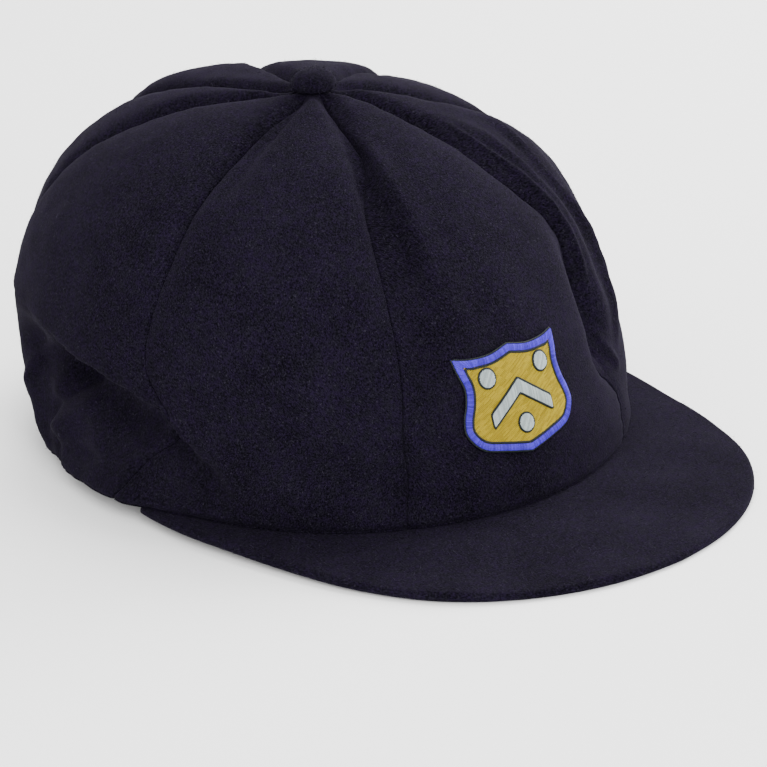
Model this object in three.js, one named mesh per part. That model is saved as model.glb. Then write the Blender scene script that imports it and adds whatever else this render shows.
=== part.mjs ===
// A wool cricket cap: eight panels sewn to a covered button, a stiff peak and a sewn-on shield patch.
// Millimetres, +Z up. The cap faces -Y and rests on its rear rim and on the edge of its peak.
// Angles go round the crown in degrees: 0 at the front, positive to the wearer's left (+X).
// Levels go up the crown: 0 is the rim, and each whole number is one row of SECTIONS.

import * as THREE from 'three';

// Crown sizes
const RIM_HALF_LENGTH = 97;
const RIM_HALF_WIDTH = 89;
const CROWN_HEIGHT = 112.6;
const WALL = 2.2;
const HEM = 3;
const SEAM_GAP = 0.3;
const PANEL_PUFF = 2.5;

// Soft forms of the crown
const FOLD_HEIGHT = 6;
const FOLD_WIDTH = 10;
const TUCK_DEPTH = 9;
const TUCK_LIP = 1.6;
const HEM_FLARE = 4.5;
const GATHER_HEIGHT = 1.7;
const GATHER_COUNT = 27;

// Peak sizes
const PEAK_REACH = 51.8;
const PEAK_THICKNESS = 2.8;
const PEAK_FALL = 2.6;
const PEAK_ARCH = 2.6;
const PEAK_END_ANGLE = 81;
const PEAK_TWIST_ANGLE = 2.9;

// Button sizes
const BUTTON_DIAMETER = 14.7;
const BUTTON_HEIGHT = 5.6;
const BUTTON_FOOT = 0.8;

// Patch sizes
const BADGE_WIDTH = 40;
const BADGE_HEIGHT = 31;
const BADGE_LOW_EDGE = 21;
const BADGE_ANGLE = -0.7;
const BADGE_GROUND_THICKNESS = 0.9;
const BADGE_BORDER_THICKNESS = 1.5;
const BADGE_BORDER_WIDTH = 2.4;
const BADGE_CLEARANCE = 0.5;
const DEVICE_THICKNESS = 0.6;
const CHEVRON_HALF_SPAN = 11;
const CHEVRON_RISE = 8;
const CHEVRON_BAND = 4.4;
const CHEVRON_MIDDLE_SHARE = 0.62;
const DISC_DIAMETER = 5.4;

// Levels at which forms start or fade
const RIM_LIFT_END_LEVEL = 3;
const GATHERS_END_LEVEL = 2.7;
const FOLDS_START_LEVEL = 0.6;
const HEM_END_LEVEL = 0.7;
const HEM_LEAN_END_LEVEL = 0.8;
const FLARE_END_LEVEL = 1.3;

// The overhang, in levels: the drop under its edge, the deepest place as a share of the edge's
// level, and the lip's place above the edge and width
const TUCK_DROP_LEVELS = 0.55;
const TUCK_START_LEVEL = 0.5;
const TUCK_DEEPEST_SHARE = 0.9;
const TUCK_HEM_SHARE = 0.25;
const LIP_RISE_LEVELS = 0.12;
const LIP_WIDTH_LEVELS = 0.45;

// The gathers, by angle from the front, and how deep they still are at the hem
const GATHERS_START_ANGLE = 88;
const GATHERS_FULL_ANGLE = 112;
const GATHERS_HEM_SHARE = 0.45;
const GATHERS_END_FACTOR = 1.4;

const table = (columns, rows) =>
  rows.map((row) => Object.fromEntries(columns.map((column, i) => [column, row[i]])));

// Heights are shares of CROWN_HEIGHT, the middle and half length of RIM_HALF_LENGTH,
// the half width of RIM_HALF_WIDTH and the puff of PANEL_PUFF. A positive middle lies to the rear.
// grid_rows is the number of rows of facets up to the next section.
const SECTIONS = table(
  ['name', 'front_height', 'rear_height', 'middle', 'half_length', 'half_width', 'puff', 'grid_rows'],
  [
    ['rim', 0, 0, 0, 1, 1, 0, 2],
    ['tuck', 0.125, 0.145, 0.052, 1.02, 1.025, 0.35, 3],
    ['low', 0.268, 0.321, 0.105, 1.025, 1.03, 0.5, 4],
    ['belly', 0.429, 0.53, 0.13, 0.995, 1, 0.6, 3],
    ['shoulder', 0.64, 0.736, 0.135, 0.872, 0.905, 0.9, 3],
    ['upper', 0.83, 0.886, 0.145, 0.66, 0.665, 1, 2],
    ['crest', 0.938, 0.966, 0.125, 0.385, 0.38, 0.9, 2],
    ['button', 0.992, 0.994, 0.06, 0.125, 0.137, 0.4, 1],
    ['eye', 1, 1, 0.044, 0.031, 0.034, 0, 0],
  ],
);

// Each seam's angle at each section, in order round the crown
const SEAMS = table(
  ['name', 'rim', 'tuck', 'low', 'belly', 'shoulder', 'upper', 'crest', 'button', 'eye'],
  [
    ['front_right', -28.5, -26, -24.5, -22.7, -21.3, -18.8, -14.4, -13.4, -15.2],
    ['front_left', 33, 34.5, 28.5, 31.5, 33, 28, 30, 36, 32],
    ['side_left', 71, 71, 71, 72.5, 72, 70, 62.5, 69, 73],
    ['rear_left', 111, 111, 111, 113, 113, 110, 108, 114, 118],
    ['back_left', 150, 150, 150, 152, 154, 156, 158, 161, 163],
    ['back_right', 190, 190, 190, 191, 193, 198, 204, 207, 208],
    ['rear_right', 232, 232, 232, 231.3, 232.7, 232.8, 235, 238, 248],
    ['side_right', 272.8, 281.6, 292.6, 287.4, 290.2, 291.5, 295.7, 299.5, 298],
  ],
);

// Each panel lies between the seam of the same row and the next one
const PANELS = table(
  ['name', 'first_seam', 'grid_columns'],
  [
    ['front_panel', 0, 12],
    ['front_left_panel', 1, 12],
    ['side_left_panel', 2, 12],
    ['back_left_panel', 3, 13],
    ['back_panel', 4, 13],
    ['back_right_panel', 5, 13],
    ['side_right_panel', 6, 14],
    ['front_right_panel', 7, 12],
  ],
);

// Ridges and dents run between two places on the crown.
// Height is a share of FOLD_HEIGHT, negative for a dent, and width a share of FOLD_WIDTH.
const FOLDS = table(
  ['name', 'angle', 'level', 'end_angle', 'end_level', 'height', 'width'],
  [
    ['pinch of the front left seam', 31, 2.95, 31, 2.5, -0.9, 0.7],
    ['swell beside the pinch', 38.5, 4.7, 36, 2.9, 0.35, 0.6],
    ['long left ridge', 52, 4.6, 44, 1.6, 0.2, 0.9],
    ['dent beside the front right seam', -17, 4.9, -16.5, 3.4, -0.5, 0.7],
    ['ridge beside that dent', -12, 5.4, -11, 3.8, 0.25, 0.8],
    ['low dent on the right', -40, 1.5, -29, 0.8, -0.35, 0.9],
    ['pinch of the side right seam', 304, 6.1, 300, 5.5, -0.4, 0.6],
    ['flat of the front left cheek', 50, 1.3, 48, 3, -0.11, 2.2],
    ['swell of the left shoulder', 54, 4.7, 62, 4.5, 0.41, 1.3],
    ['hollow of the side left panel', 88, 4.8, 92, 5.1, -0.15, 1.4],
    ['swell over the rear left seam', 116, 5.3, 118, 5.1, 0.23, 1.2],
    ['swell over the back seam', 168, 5.6, 176, 5.4, 0.23, 1.6],
    ['swell over the back right seam', 189, 4.9, 187, 4.7, 0.21, 1.3],
    ['swell of the back right shoulder', 216, 4.3, 218, 3.9, 0.12, 1.6],
    ['flat of the rear right side', 222, 3.5, 226, 3.2, -0.35, 1.5],
    ['swell over the rear right tuck', 240, 2.8, 241, 2, 0.34, 1.6],
  ],
);

// The cloth above the rear rim is drawn in by elastic, so the crown hangs over it.
// edge_level is the level of the overhang's edge, depth a share of TUCK_DEPTH,
// and flare a share of HEM_FLARE, by which the rolled hem stands out at the rim.
const TUCKS = table(
  ['angle', 'edge_level', 'depth', 'flare'],
  [
    [0, 1.2, 0, 0],
    [60, 1.2, 0, 0],
    [84, 2, 0.35, 0],
    [100, 2.5, 0.8, 0.8],
    [122, 2.7, 0.4, 0.6],
    [150, 2.6, 0.2, 0.4],
    [190, 2.6, 0.15, 0.2],
    [218, 2.75, 0, 0.2],
    [236, 2.78, 0.03, 0.25],
    [250, 2.75, 0.65, 0.45],
    [262, 2.68, 1, 0.7],
    [275, 2.5, 1, 0.9],
    [283, 2.35, 0.9, 0.3],
    [290, 2.15, 0.7, 0],
    [295.5, 1.65, 0.45, 0],
    [303, 1.2, 0, 0],
    [360, 1.2, 0, 0],
  ],
);

// How far the peak reaches past the rim, as a share of PEAK_REACH, at angles round the rim
const PEAK_OUTLINE = table(
  ['angle', 'reach'],
  [
    [0, 1],
    [10, 0.97],
    [20, 0.888],
    [30, 0.75],
    [40, 0.551],
    [50, 0.348],
    [60, 0.2],
    [70, 0.11],
    [PEAK_END_ANGLE, 0.02],
  ],
);

// One half of the shield, from the middle of its top to its tip, as shares of the patch's
// half width and height. The other half mirrors it.
const SHIELD = table(
  ['across', 'up'],
  [
    [0, 1],
    [0.36, 0.95],
    [0.7, 0.955],
    [0.93, 0.985],
    [0.9, 0.84],
    [0.86, 0.7],
    [0.9, 0.56],
    [0.98, 0.42],
    [0.99, 0.28],
    [0.8, 0.13],
    [0.42, 0.06],
    [0, 0],
  ],
);

// The discs round the chevron, as shares of the patch's half width and height
const DISCS = table(
  ['name', 'across', 'up'],
  [
    ['badge_disc_right', -0.5, 0.755],
    ['badge_disc_left', 0.5, 0.755],
    ['badge_disc_base', 0, 0.265],
  ],
);

const DEGREE = Math.PI / 180;

const mix = (a, b, share) => a + (b - a) * share;

const smooth = (value) => {
  const share = THREE.MathUtils.clamp(value, 0, 1);
  return share * share * (3 - 2 * share);
};

// Runs a smooth curve through a table's column, at a place counted in rows
function alongRows(values, place) {
  const last = values.length - 1;
  const row = THREE.MathUtils.clamp(Math.floor(place), 0, last - 1);
  const share = place - row;
  const [here, next] = [values[row], values[row + 1]];
  const before = row > 0 ? values[row - 1] : 2 * here - next;
  const after = row + 2 <= last ? values[row + 2] : 2 * next - here;
  return 0.5 * (
    2 * here
    + (next - before) * share
    + (2 * before - 5 * here + 4 * next - after) * share ** 2
    + (3 * here - before - 3 * next + after) * share ** 3
  );
}

// Runs a smooth step from row to row of a table that states angles
function atAngle(rows, column, angle) {
  const next = Math.max(1, rows.findIndex((row) => row.angle >= angle));
  const [from, to] = [rows[next - 1], rows[next]];
  return mix(from[column], to[column], smooth((angle - from.angle) / (to.angle - from.angle)));
}

const columnOf = (rows, column) => rows.map((row) => row[column]);
const sectionAt = (column, level) => alongRows(columnOf(SECTIONS, column), level);

const seamAngle = (seam, level) => {
  const turn = 360 * Math.floor(seam / SEAMS.length);
  const angles = SECTIONS.map((section) => SEAMS[seam % SEAMS.length][section.name]);
  return turn + alongRows(angles, level);
};

const roundAngle = (angle) => THREE.MathUtils.euclideanModulo(angle, 360);
const angleFromFront = (angle) => Math.abs(THREE.MathUtils.euclideanModulo(angle + 180, 360) - 180);

// The rim in plan, its outward direction, and the peak's edge in front of it
function rimPlan(angle) {
  return new THREE.Vector2(
    RIM_HALF_WIDTH * Math.sin(angle * DEGREE),
    -RIM_HALF_LENGTH * Math.cos(angle * DEGREE),
  );
}

function rimOutward(angle) {
  return new THREE.Vector2(
    Math.sin(angle * DEGREE) / RIM_HALF_WIDTH,
    -Math.cos(angle * DEGREE) / RIM_HALF_LENGTH,
  ).normalize();
}

function peakReach(angle) {
  const twist = PEAK_TWIST_ANGLE * Math.cos(angle / PEAK_END_ANGLE * Math.PI / 2);
  const place = angleFromFront(angle - twist);
  const next = Math.max(1, PEAK_OUTLINE.findIndex((row) => row.angle >= place));
  const [from, to] = [PEAK_OUTLINE[next - 1], PEAK_OUTLINE[next]];
  const share = (place - from.angle) / (to.angle - from.angle);
  return PEAK_REACH * alongRows(columnOf(PEAK_OUTLINE, 'reach'), next - 1 + share);
}

// The rim is level where the cap rests behind, and rises to the peak's arch in front
const REST_START_ANGLE = 60;
const REST_FLAT_ANGLE = 150;
function restShare(angle) {
  const turned = angleFromFront(angle) - REST_START_ANGLE;
  return smooth(turned / (REST_FLAT_ANGLE - REST_START_ANGLE));
}

// The arch of the peak above its own lowest place
function peakArch(x, y) {
  const forward = -y - RIM_HALF_LENGTH;
  return -PEAK_FALL * forward / PEAK_REACH - PEAK_ARCH * (x / RIM_HALF_WIDTH) ** 2;
}

function peakEdgePlan(angle) {
  return rimPlan(angle).addScaledVector(rimOutward(angle), peakReach(angle));
}

function lowestPeakEdge() {
  let lowest = Infinity;
  for (let angle = -PEAK_END_ANGLE; angle <= PEAK_END_ANGLE; angle += 1) {
    const edge = peakEdgePlan(angle);
    lowest = Math.min(lowest, peakArch(edge.x, edge.y));
  }
  return lowest;
}

const PEAK_ROOT_HEIGHT = PEAK_THICKNESS - lowestPeakEdge();

const peakTop = (angle, x, y) => (PEAK_ROOT_HEIGHT + peakArch(x, y)) * (1 - restShare(angle));

function rimHeight(angle) {
  const rim = rimPlan(angle);
  return peakTop(angle, rim.x, rim.y) + SEAM_GAP * (1 - restShare(angle));
}

// Folds are straight on a map of the crown, where a level is as high as it is up the side
const LEVEL_COUNT_UP_THE_SIDE = 6;

// How far the cloth stands out from the plain form, without the swell of its panel
function foldHeight(angle, level) {
  const aroundStep = (RIM_HALF_LENGTH + RIM_HALF_WIDTH) / 2 * DEGREE;
  const upStep = CROWN_HEIGHT / LEVEL_COUNT_UP_THE_SIDE;
  let height = 0;
  for (const fold of FOLDS) {
    const along = (fold.end_angle - fold.angle) * aroundStep;
    const up = (fold.end_level - fold.level) * upStep;
    const turned = THREE.MathUtils.euclideanModulo(angle - fold.angle + 180, 360) - 180;
    const [dx, dy] = [turned * aroundStep, (level - fold.level) * upStep];
    const length = Math.hypot(along, up);
    const share = (dx * along + dy * up) / length ** 2;
    const near = THREE.MathUtils.clamp(share, 0, 1);
    const past = (share - near) * length;
    const aside = (dx * up - dy * along) / length;
    const width = FOLD_WIDTH * fold.width;
    height += FOLD_HEIGHT * fold.height
      * Math.exp(-((aside / width) ** 2) - (past / (2 * width)) ** 2)
      * smooth(level / FOLDS_START_LEVEL);
  }
  return height;
}

// The overhang of the rear: cloth below its edge is drawn in, and the edge itself stands out
function tuckHeight(angle, level) {
  const place = roundAngle(angle);
  const depth = TUCK_DEPTH * atAngle(TUCKS, 'depth', place);
  const edge = atAngle(TUCKS, 'edge_level', place);
  const below = edge - level;
  const deepening = mix(TUCK_HEM_SHARE, 1, smooth(level / edge / TUCK_DEEPEST_SHARE));
  const drawnIn = smooth(below / TUCK_DROP_LEVELS) * deepening * smooth(level / TUCK_START_LEVEL);
  const lip = Math.exp(-(((below + LIP_RISE_LEVELS) / LIP_WIDTH_LEVELS) ** 2));
  const flare = HEM_FLARE * atAngle(TUCKS, 'flare', place) * (1 - smooth(level / FLARE_END_LEVEL));
  return -depth * drawnIn + TUCK_LIP * depth / TUCK_DEPTH * lip + flare;
}

// The gathers of the elastic, which sway a little so that no two are alike
function gatherHeight(angle, level) {
  const turn = angle * DEGREE;
  const turned = angleFromFront(angle) - GATHERS_START_ANGLE;
  const reach = smooth(turned / (GATHERS_FULL_ANGLE - GATHERS_START_ANGLE));
  const above = smooth((1 - level / GATHERS_END_LEVEL) * GATHERS_END_FACTOR);
  const below = mix(GATHERS_HEM_SHARE, 1, smooth(level / HEM_LEAN_END_LEVEL));
  const sway = 0.9 * Math.sin(3 * turn) + 0.7 * Math.sin(5 * turn + 1);
  return GATHER_HEIGHT * reach * above * below * Math.sin(GATHER_COUNT * turn + sway);
}

// The plain form of the crown
function formPoint(angle, level) {
  const turn = angle * DEGREE;
  const front = sectionAt('front_height', level);
  const rear = sectionAt('rear_height', level);
  const lift = rimHeight(angle) * THREE.MathUtils.clamp(1 - level / RIM_LIFT_END_LEVEL, 0, 1);
  return new THREE.Vector3(
    RIM_HALF_WIDTH * sectionAt('half_width', level) * Math.sin(turn),
    RIM_HALF_LENGTH * (sectionAt('middle', level) - sectionAt('half_length', level) * Math.cos(turn)),
    CROWN_HEIGHT * mix(front, rear, (1 - Math.cos(turn)) / 2) + lift,
  );
}

function outwardOf(pointAt, angle, level, angleStep, levelStep) {
  const low = Math.max(0, level - levelStep);
  const high = Math.min(SECTIONS.length - 1, level + levelStep);
  const around = pointAt(angle + angleStep, level).sub(pointAt(angle - angleStep, level));
  const up = pointAt(angle, high).sub(pointAt(angle, low));
  const outward = around.cross(up).normalize();
  outward.z *= smooth(level / HEM_LEAN_END_LEVEL);
  return outward.normalize();
}

// The folded form, before the panels swell
function foldedPoint(angle, level) {
  const outward = outwardOf(formPoint, angle, level, 1, 0.05);
  const height = foldHeight(angle, level) + tuckHeight(angle, level) + gatherHeight(angle, level);
  return formPoint(angle, level).addScaledVector(outward, height);
}

// A panel's pillow shape between its seams, with the average height taken off
const PILLOW_POWER = 2.6;
function pillow(across) {
  const mean = 1 - 1 / (PILLOW_POWER + 1);
  return 1 - Math.abs(2 * across - 1) ** PILLOW_POWER - mean;
}

// A point on the outside of the crown, and the point of the inside behind it
function skinPoints(angle, level, across) {
  const outward = outwardOf(foldedPoint, angle, level, 2.5, 0.16);
  const puff = PANEL_PUFF * sectionAt('puff', level) * pillow(across);
  const outside = foldedPoint(angle, level).addScaledVector(outward, puff);
  const wall = mix(HEM, WALL, smooth(level / HEM_END_LEVEL));
  const inside = outside.clone().addScaledVector(outward, -wall);
  if (level === 0) {
    inside.z = outside.z;
  }
  return { outside, inside };
}

function geometryFrom(points, faces) {
  const geometry = new THREE.BufferGeometry();
  const places = points.flatMap((point) => point.toArray());
  geometry.setAttribute('position', new THREE.Float32BufferAttribute(places, 3));
  geometry.setIndex(faces);
  geometry.computeVertexNormals();
  return geometry;
}

// Joins loops of as many points into one closed body. Its ends meet, or each is closed by a fan.
function loopsGeometry(loops, endsMeet = false) {
  const size = loops[0].length;
  const points = loops.flat();
  const faces = [];
  const bands = endsMeet ? loops.length : loops.length - 1;
  for (let band = 0; band < bands; band += 1) {
    for (let i = 0; i < size; i += 1) {
      const next = (i + 1) % size;
      const [a, b] = [band * size + i, band * size + next];
      const upper = (band + 1) % loops.length * size;
      faces.push(a, b, upper + next, a, upper + next, upper + i);
    }
  }
  if (!endsMeet) {
    const last = (loops.length - 1) * size;
    const middleOf = (loop) => loop.reduce((sum, p) => sum.add(p), new THREE.Vector3()).divideScalar(size);
    points.push(middleOf(loops[0]), middleOf(loops.at(-1)));
    for (let i = 0; i < size; i += 1) {
      const next = (i + 1) % size;
      faces.push(points.length - 2, next, i);
      faces.push(points.length - 1, last + i, last + next);
    }
  }
  return geometryFrom(points, faces);
}

function gridLevels() {
  const levels = [];
  SECTIONS.forEach((section, row) => {
    for (let i = 0; i < section.grid_rows; i += 1) {
      levels.push(row + i / section.grid_rows);
    }
  });
  levels.push(SECTIONS.length - 1);
  return levels;
}

// A wall between two skins of the same grid, closed along its four edges
function wallGeometry(outside, inside) {
  const rows = outside.length;
  const columns = outside[0].length;
  const points = [...outside.flat(), ...inside.flat()];
  const inner = rows * columns;
  const at = (row, column) => row * columns + column;
  const faces = [];
  const quad = (a, b, c, d) => faces.push(a, b, c, a, c, d);
  for (let row = 0; row + 1 < rows; row += 1) {
    for (let column = 0; column + 1 < columns; column += 1) {
      const [a, b] = [at(row, column), at(row, column + 1)];
      const [c, d] = [at(row + 1, column + 1), at(row + 1, column)];
      quad(a, b, c, d);
      quad(inner + a, inner + d, inner + c, inner + b);
    }
  }
  for (let column = 0; column + 1 < columns; column += 1) {
    const [a, b] = [at(0, column), at(0, column + 1)];
    const [c, d] = [at(rows - 1, column), at(rows - 1, column + 1)];
    quad(a, inner + a, inner + b, b);
    quad(c, d, inner + d, inner + c);
  }
  for (let row = 0; row + 1 < rows; row += 1) {
    const [a, b] = [at(row, 0), at(row + 1, 0)];
    const [c, d] = [at(row, columns - 1), at(row + 1, columns - 1)];
    quad(a, b, inner + b, inner + a);
    quad(c, inner + c, inner + d, d);
  }
  return geometryFrom(points, faces);
}

function panelGeometry(panel) {
  const outside = [];
  const inside = [];
  for (const level of gridLevels()) {
    const radius = RIM_HALF_WIDTH * sectionAt('half_width', level);
    const halfGap = SEAM_GAP / 2 / radius / DEGREE;
    const start = seamAngle(panel.first_seam, level) + halfGap;
    const end = seamAngle(panel.first_seam + 1, level) - halfGap;
    const row = [];
    for (let column = 0; column <= panel.grid_columns; column += 1) {
      const across = column / panel.grid_columns;
      row.push(skinPoints(mix(start, end, across), level, across));
    }
    outside.push(row.map((points) => points.outside));
    inside.push(row.map((points) => points.inside));
  }
  return wallGeometry(outside, inside);
}

// The peak's root lies under the crown's hem, and its cloth turns round its outer edge
function peakGeometry() {
  const columns = 34;
  const topRows = 5;
  const edgeRows = 4;
  const loops = [];
  for (let column = 0; column <= columns; column += 1) {
    const angle = mix(-PEAK_END_ANGLE, PEAK_END_ANGLE, column / columns);
    const rim = rimPlan(angle);
    const outward = rimOutward(angle);
    const reach = peakReach(angle);
    const round = PEAK_THICKNESS / 2;
    const loop = [];
    const place = (out, below) => {
      const plan = rim.clone().addScaledVector(outward, out);
      const shown = out > 0 ? plan : rim;
      loop.push(new THREE.Vector3(plan.x, plan.y, peakTop(angle, shown.x, shown.y) - below));
    };
    for (let row = 0; row < topRows; row += 1) {
      place(mix(-HEM, reach - round, row / topRows), 0);
    }
    for (let row = 0; row <= edgeRows; row += 1) {
      const turn = Math.PI * row / edgeRows;
      place(reach - round + round * Math.sin(turn), round - round * Math.cos(turn));
    }
    for (let row = topRows - 1; row >= 0; row -= 1) {
      place(mix(-HEM, reach - round, row / topRows), PEAK_THICKNESS);
    }
    loops.push(loop);
  }
  return loopsGeometry(loops);
}

// The button's dome is fuller than a half ellipse, and its cloth draws in a little at its foot
const DOME_POWER = 0.75;
const FOOT_SHARE = 0.9;
function buttonGeometry() {
  const radius = BUTTON_DIAMETER / 2;
  const profile = [new THREE.Vector2(0, 0), new THREE.Vector2(radius * FOOT_SHARE, 0)];
  const steps = 7;
  for (let step = 0; step < steps; step += 1) {
    const turn = Math.PI / 2 * step / steps;
    const out = radius * Math.cos(turn) ** DOME_POWER;
    const up = mix(BUTTON_FOOT, BUTTON_HEIGHT, Math.sin(turn));
    profile.push(new THREE.Vector2(out, up));
  }
  profile.push(new THREE.Vector2(0, BUTTON_HEIGHT));
  const sides = 22;
  return new THREE.LatheGeometry(profile, sides).rotateX(Math.PI / 2);
}

// The level at which the folded crown is as high as asked, straight in front
function levelAtHeight(angle, height) {
  let [low, high] = [0, SECTIONS.length - 1];
  for (let step = 0; step < 30; step += 1) {
    const middle = (low + high) / 2;
    if (formPoint(angle, middle).z < height) {
      low = middle;
    } else {
      high = middle;
    }
  }
  return (low + high) / 2;
}

// Lays a point of the flat patch on the front panel: across and up from the middle of its low
// edge, and off above the cloth
function patchPoint(across, up, off) {
  let angle = BADGE_ANGLE;
  let level = 0;
  for (let pass = 0; pass < 3; pass += 1) {
    level = levelAtHeight(angle, BADGE_LOW_EDGE + up);
    angle = BADGE_ANGLE + across / (RIM_HALF_WIDTH * sectionAt('half_width', level)) / DEGREE;
  }
  const share = (angle - seamAngle(0, level)) / (seamAngle(1, level) - seamAngle(0, level));
  const { outside, inside } = skinPoints(angle, level, share);
  const outward = outside.clone().sub(inside).normalize();
  return outside.addScaledVector(outward, BADGE_CLEARANCE + off);
}

// The shield's outline in the flat: its corners are drawn in by inset, then each side is cut in two
const SHARPEST_MITRE_SHARE = 0.5;
function shieldOutline(inset) {
  const half = SHIELD.map((row) => new THREE.Vector2(row.across * BADGE_WIDTH / 2, row.up * BADGE_HEIGHT));
  const mirrored = half.map((point) => new THREE.Vector2(-point.x, point.y));
  const corners = [...mirrored, ...half.slice(1, -1).reverse()];
  const inwardOf = (from, to) => new THREE.Vector2(from.y - to.y, to.x - from.x).normalize();
  const drawnIn = corners.map((point, i) => {
    const before = inwardOf(corners.at(i - 1), point);
    const after = inwardOf(point, corners[(i + 1) % corners.length]);
    const mitre = before.clone().add(after).normalize();
    return point.clone().addScaledVector(mitre, inset / Math.max(SHARPEST_MITRE_SHARE, mitre.dot(after)));
  });
  return drawnIn.flatMap((corner, i) => {
    const next = drawnIn[(i + 1) % drawnIn.length];
    return [corner, corner.clone().lerp(next, 0.5)];
  });
}

const lay = (outline, off) => outline.map((point) => patchPoint(point.x, point.y, off));

function badgeBorderGeometry() {
  const outer = shieldOutline(0);
  const inner = shieldOutline(BADGE_BORDER_WIDTH);
  const top = BADGE_BORDER_THICKNESS;
  return loopsGeometry([lay(inner, 0), lay(outer, 0), lay(outer, top), lay(inner, top)], true);
}

function badgeGroundGeometry() {
  const outline = shieldOutline(BADGE_BORDER_WIDTH + SEAM_GAP);
  const middle = new THREE.Vector2(0, BADGE_HEIGHT / 2);
  const ringAt = (share) => outline.map((point) => middle.clone().lerp(point, share));
  const rings = [0.25, 0.5, 0.75, 1].map(ringAt);
  return loopsGeometry([
    ...rings.map((ring) => lay(ring, 0)),
    ...rings.reverse().map((ring) => lay(ring, BADGE_GROUND_THICKNESS)),
  ]);
}

const DEVICE_BASE = BADGE_GROUND_THICKNESS + SEAM_GAP;
const DEVICE_TOP = DEVICE_BASE + DEVICE_THICKNESS;

function chevronGeometry() {
  const steps = 12;
  const loops = [];
  for (let step = 0; step <= steps; step += 1) {
    const across = mix(-CHEVRON_HALF_SPAN, CHEVRON_HALF_SPAN, step / steps);
    const middle = BADGE_HEIGHT * CHEVRON_MIDDLE_SHARE - CHEVRON_RISE * Math.abs(across) / CHEVRON_HALF_SPAN;
    const [high, low] = [middle + CHEVRON_BAND / 2, middle - CHEVRON_BAND / 2];
    loops.push([
      patchPoint(across, high, DEVICE_TOP),
      patchPoint(across, low, DEVICE_TOP),
      patchPoint(across, low, DEVICE_BASE),
      patchPoint(across, high, DEVICE_BASE),
    ]);
  }
  return loopsGeometry(loops);
}

function discGeometry(disc) {
  const sides = 14;
  const outline = [];
  for (let side = 0; side < sides; side += 1) {
    const turn = 2 * Math.PI * side / sides;
    outline.push(new THREE.Vector2(
      disc.across * BADGE_WIDTH / 2 + DISC_DIAMETER / 2 * Math.cos(turn),
      disc.up * BADGE_HEIGHT + DISC_DIAMETER / 2 * Math.sin(turn),
    ));
  }
  return loopsGeometry([lay(outline, DEVICE_BASE), lay(outline, DEVICE_TOP)]);
}

const cloth = (name, color, roughness) =>
  new THREE.MeshStandardMaterial({ name, color, roughness, metalness: 0 });
const wool = cloth('wool', 0x0f0d1c, 0.95);
const gold = cloth('gold_thread', 0xc4a22a, 0.55);
const blue = cloth('blue_thread', 0x3b3ec0, 0.4);
const grey = cloth('grey_thread', 0xa9b3b5, 0.55);

const cap = new THREE.Group();

function addMesh(name, geometry, material) {
  const mesh = new THREE.Mesh(geometry, material.clone());
  mesh.name = name;
  cap.add(mesh);
  return mesh;
}

for (const panel of PANELS) {
  addMesh(panel.name, panelGeometry(panel), wool);
}
addMesh('peak', peakGeometry(), wool);

const button = addMesh('button', buttonGeometry(), wool);
const top = formPoint(0, SECTIONS.length - 1);
button.position.set(0, RIM_HALF_LENGTH * SECTIONS.at(-1).middle, top.z + SEAM_GAP);

addMesh('badge_border', badgeBorderGeometry(), blue);
addMesh('badge_ground', badgeGroundGeometry(), gold);
addMesh('badge_chevron', chevronGeometry(), grey);
for (const disc of DISCS) {
  addMesh(disc.name, discGeometry(disc), grey);
}

// The origin is the bottom centre of the whole cap
const box = new THREE.Box3().setFromObject(cap);
const centre = box.getCenter(new THREE.Vector3());
cap.position.set(-centre.x, -centre.y, -box.min.z);

export default cap;
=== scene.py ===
# %% [markdown]
# A cricket cap is sewn from wedges of thick wool cloth, pressed open at the seams and gathered by
# elastic at the back. This lesson loads the plain solids of such a cap and gives each piece its
# fine cloth form, its threads and its nap. Every length below is in millimetres until a mesh is
# made, because cloth is cut in millimetres, and every mesh is in metres.

# %% Load the plain solids
import math

import bpy
import numpy as np
from mathutils import Matrix, Vector


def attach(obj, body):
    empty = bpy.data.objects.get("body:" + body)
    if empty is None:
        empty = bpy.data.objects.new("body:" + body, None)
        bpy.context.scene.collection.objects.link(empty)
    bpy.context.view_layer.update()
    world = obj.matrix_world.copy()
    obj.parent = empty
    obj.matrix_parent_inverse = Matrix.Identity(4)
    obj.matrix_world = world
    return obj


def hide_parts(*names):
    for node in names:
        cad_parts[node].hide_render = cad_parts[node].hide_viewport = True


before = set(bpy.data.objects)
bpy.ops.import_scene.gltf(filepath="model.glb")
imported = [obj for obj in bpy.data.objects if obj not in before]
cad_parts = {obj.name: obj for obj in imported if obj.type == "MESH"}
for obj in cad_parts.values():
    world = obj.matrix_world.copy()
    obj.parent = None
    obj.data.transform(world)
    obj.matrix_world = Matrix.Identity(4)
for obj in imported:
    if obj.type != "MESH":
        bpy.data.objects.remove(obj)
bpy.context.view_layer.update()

MM = 0.001
BODY = "root"

# %% [markdown]
# The camera stands at the wearer's right of the cap's front and looks down on it with a long lens,
# as for a picture in a shop. It is made first, because every later choice is judged through it. Its
# place follows from two angles, a small roll and a distance, which is easier to adjust than a
# matrix.

# %% Place the camera
PICTURE_PIXELS = 767
CAMERA_TURN = math.radians(-38.1)
CAMERA_RISE = math.radians(21.9)
CAMERA_ROLL = math.radians(-2.85)
CAMERA_DISTANCE = 1031 * MM
CAMERA_AIM = Vector((22.076, 23.617, 8.0)) * MM
FOCAL_PIXELS = 3180
SENSOR_WIDTH = 36


def placed(name, data):
    """Puts new data into the scene as an object."""
    thing = bpy.data.objects.new(name, data)
    bpy.context.scene.collection.objects.link(thing)
    return thing


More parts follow.
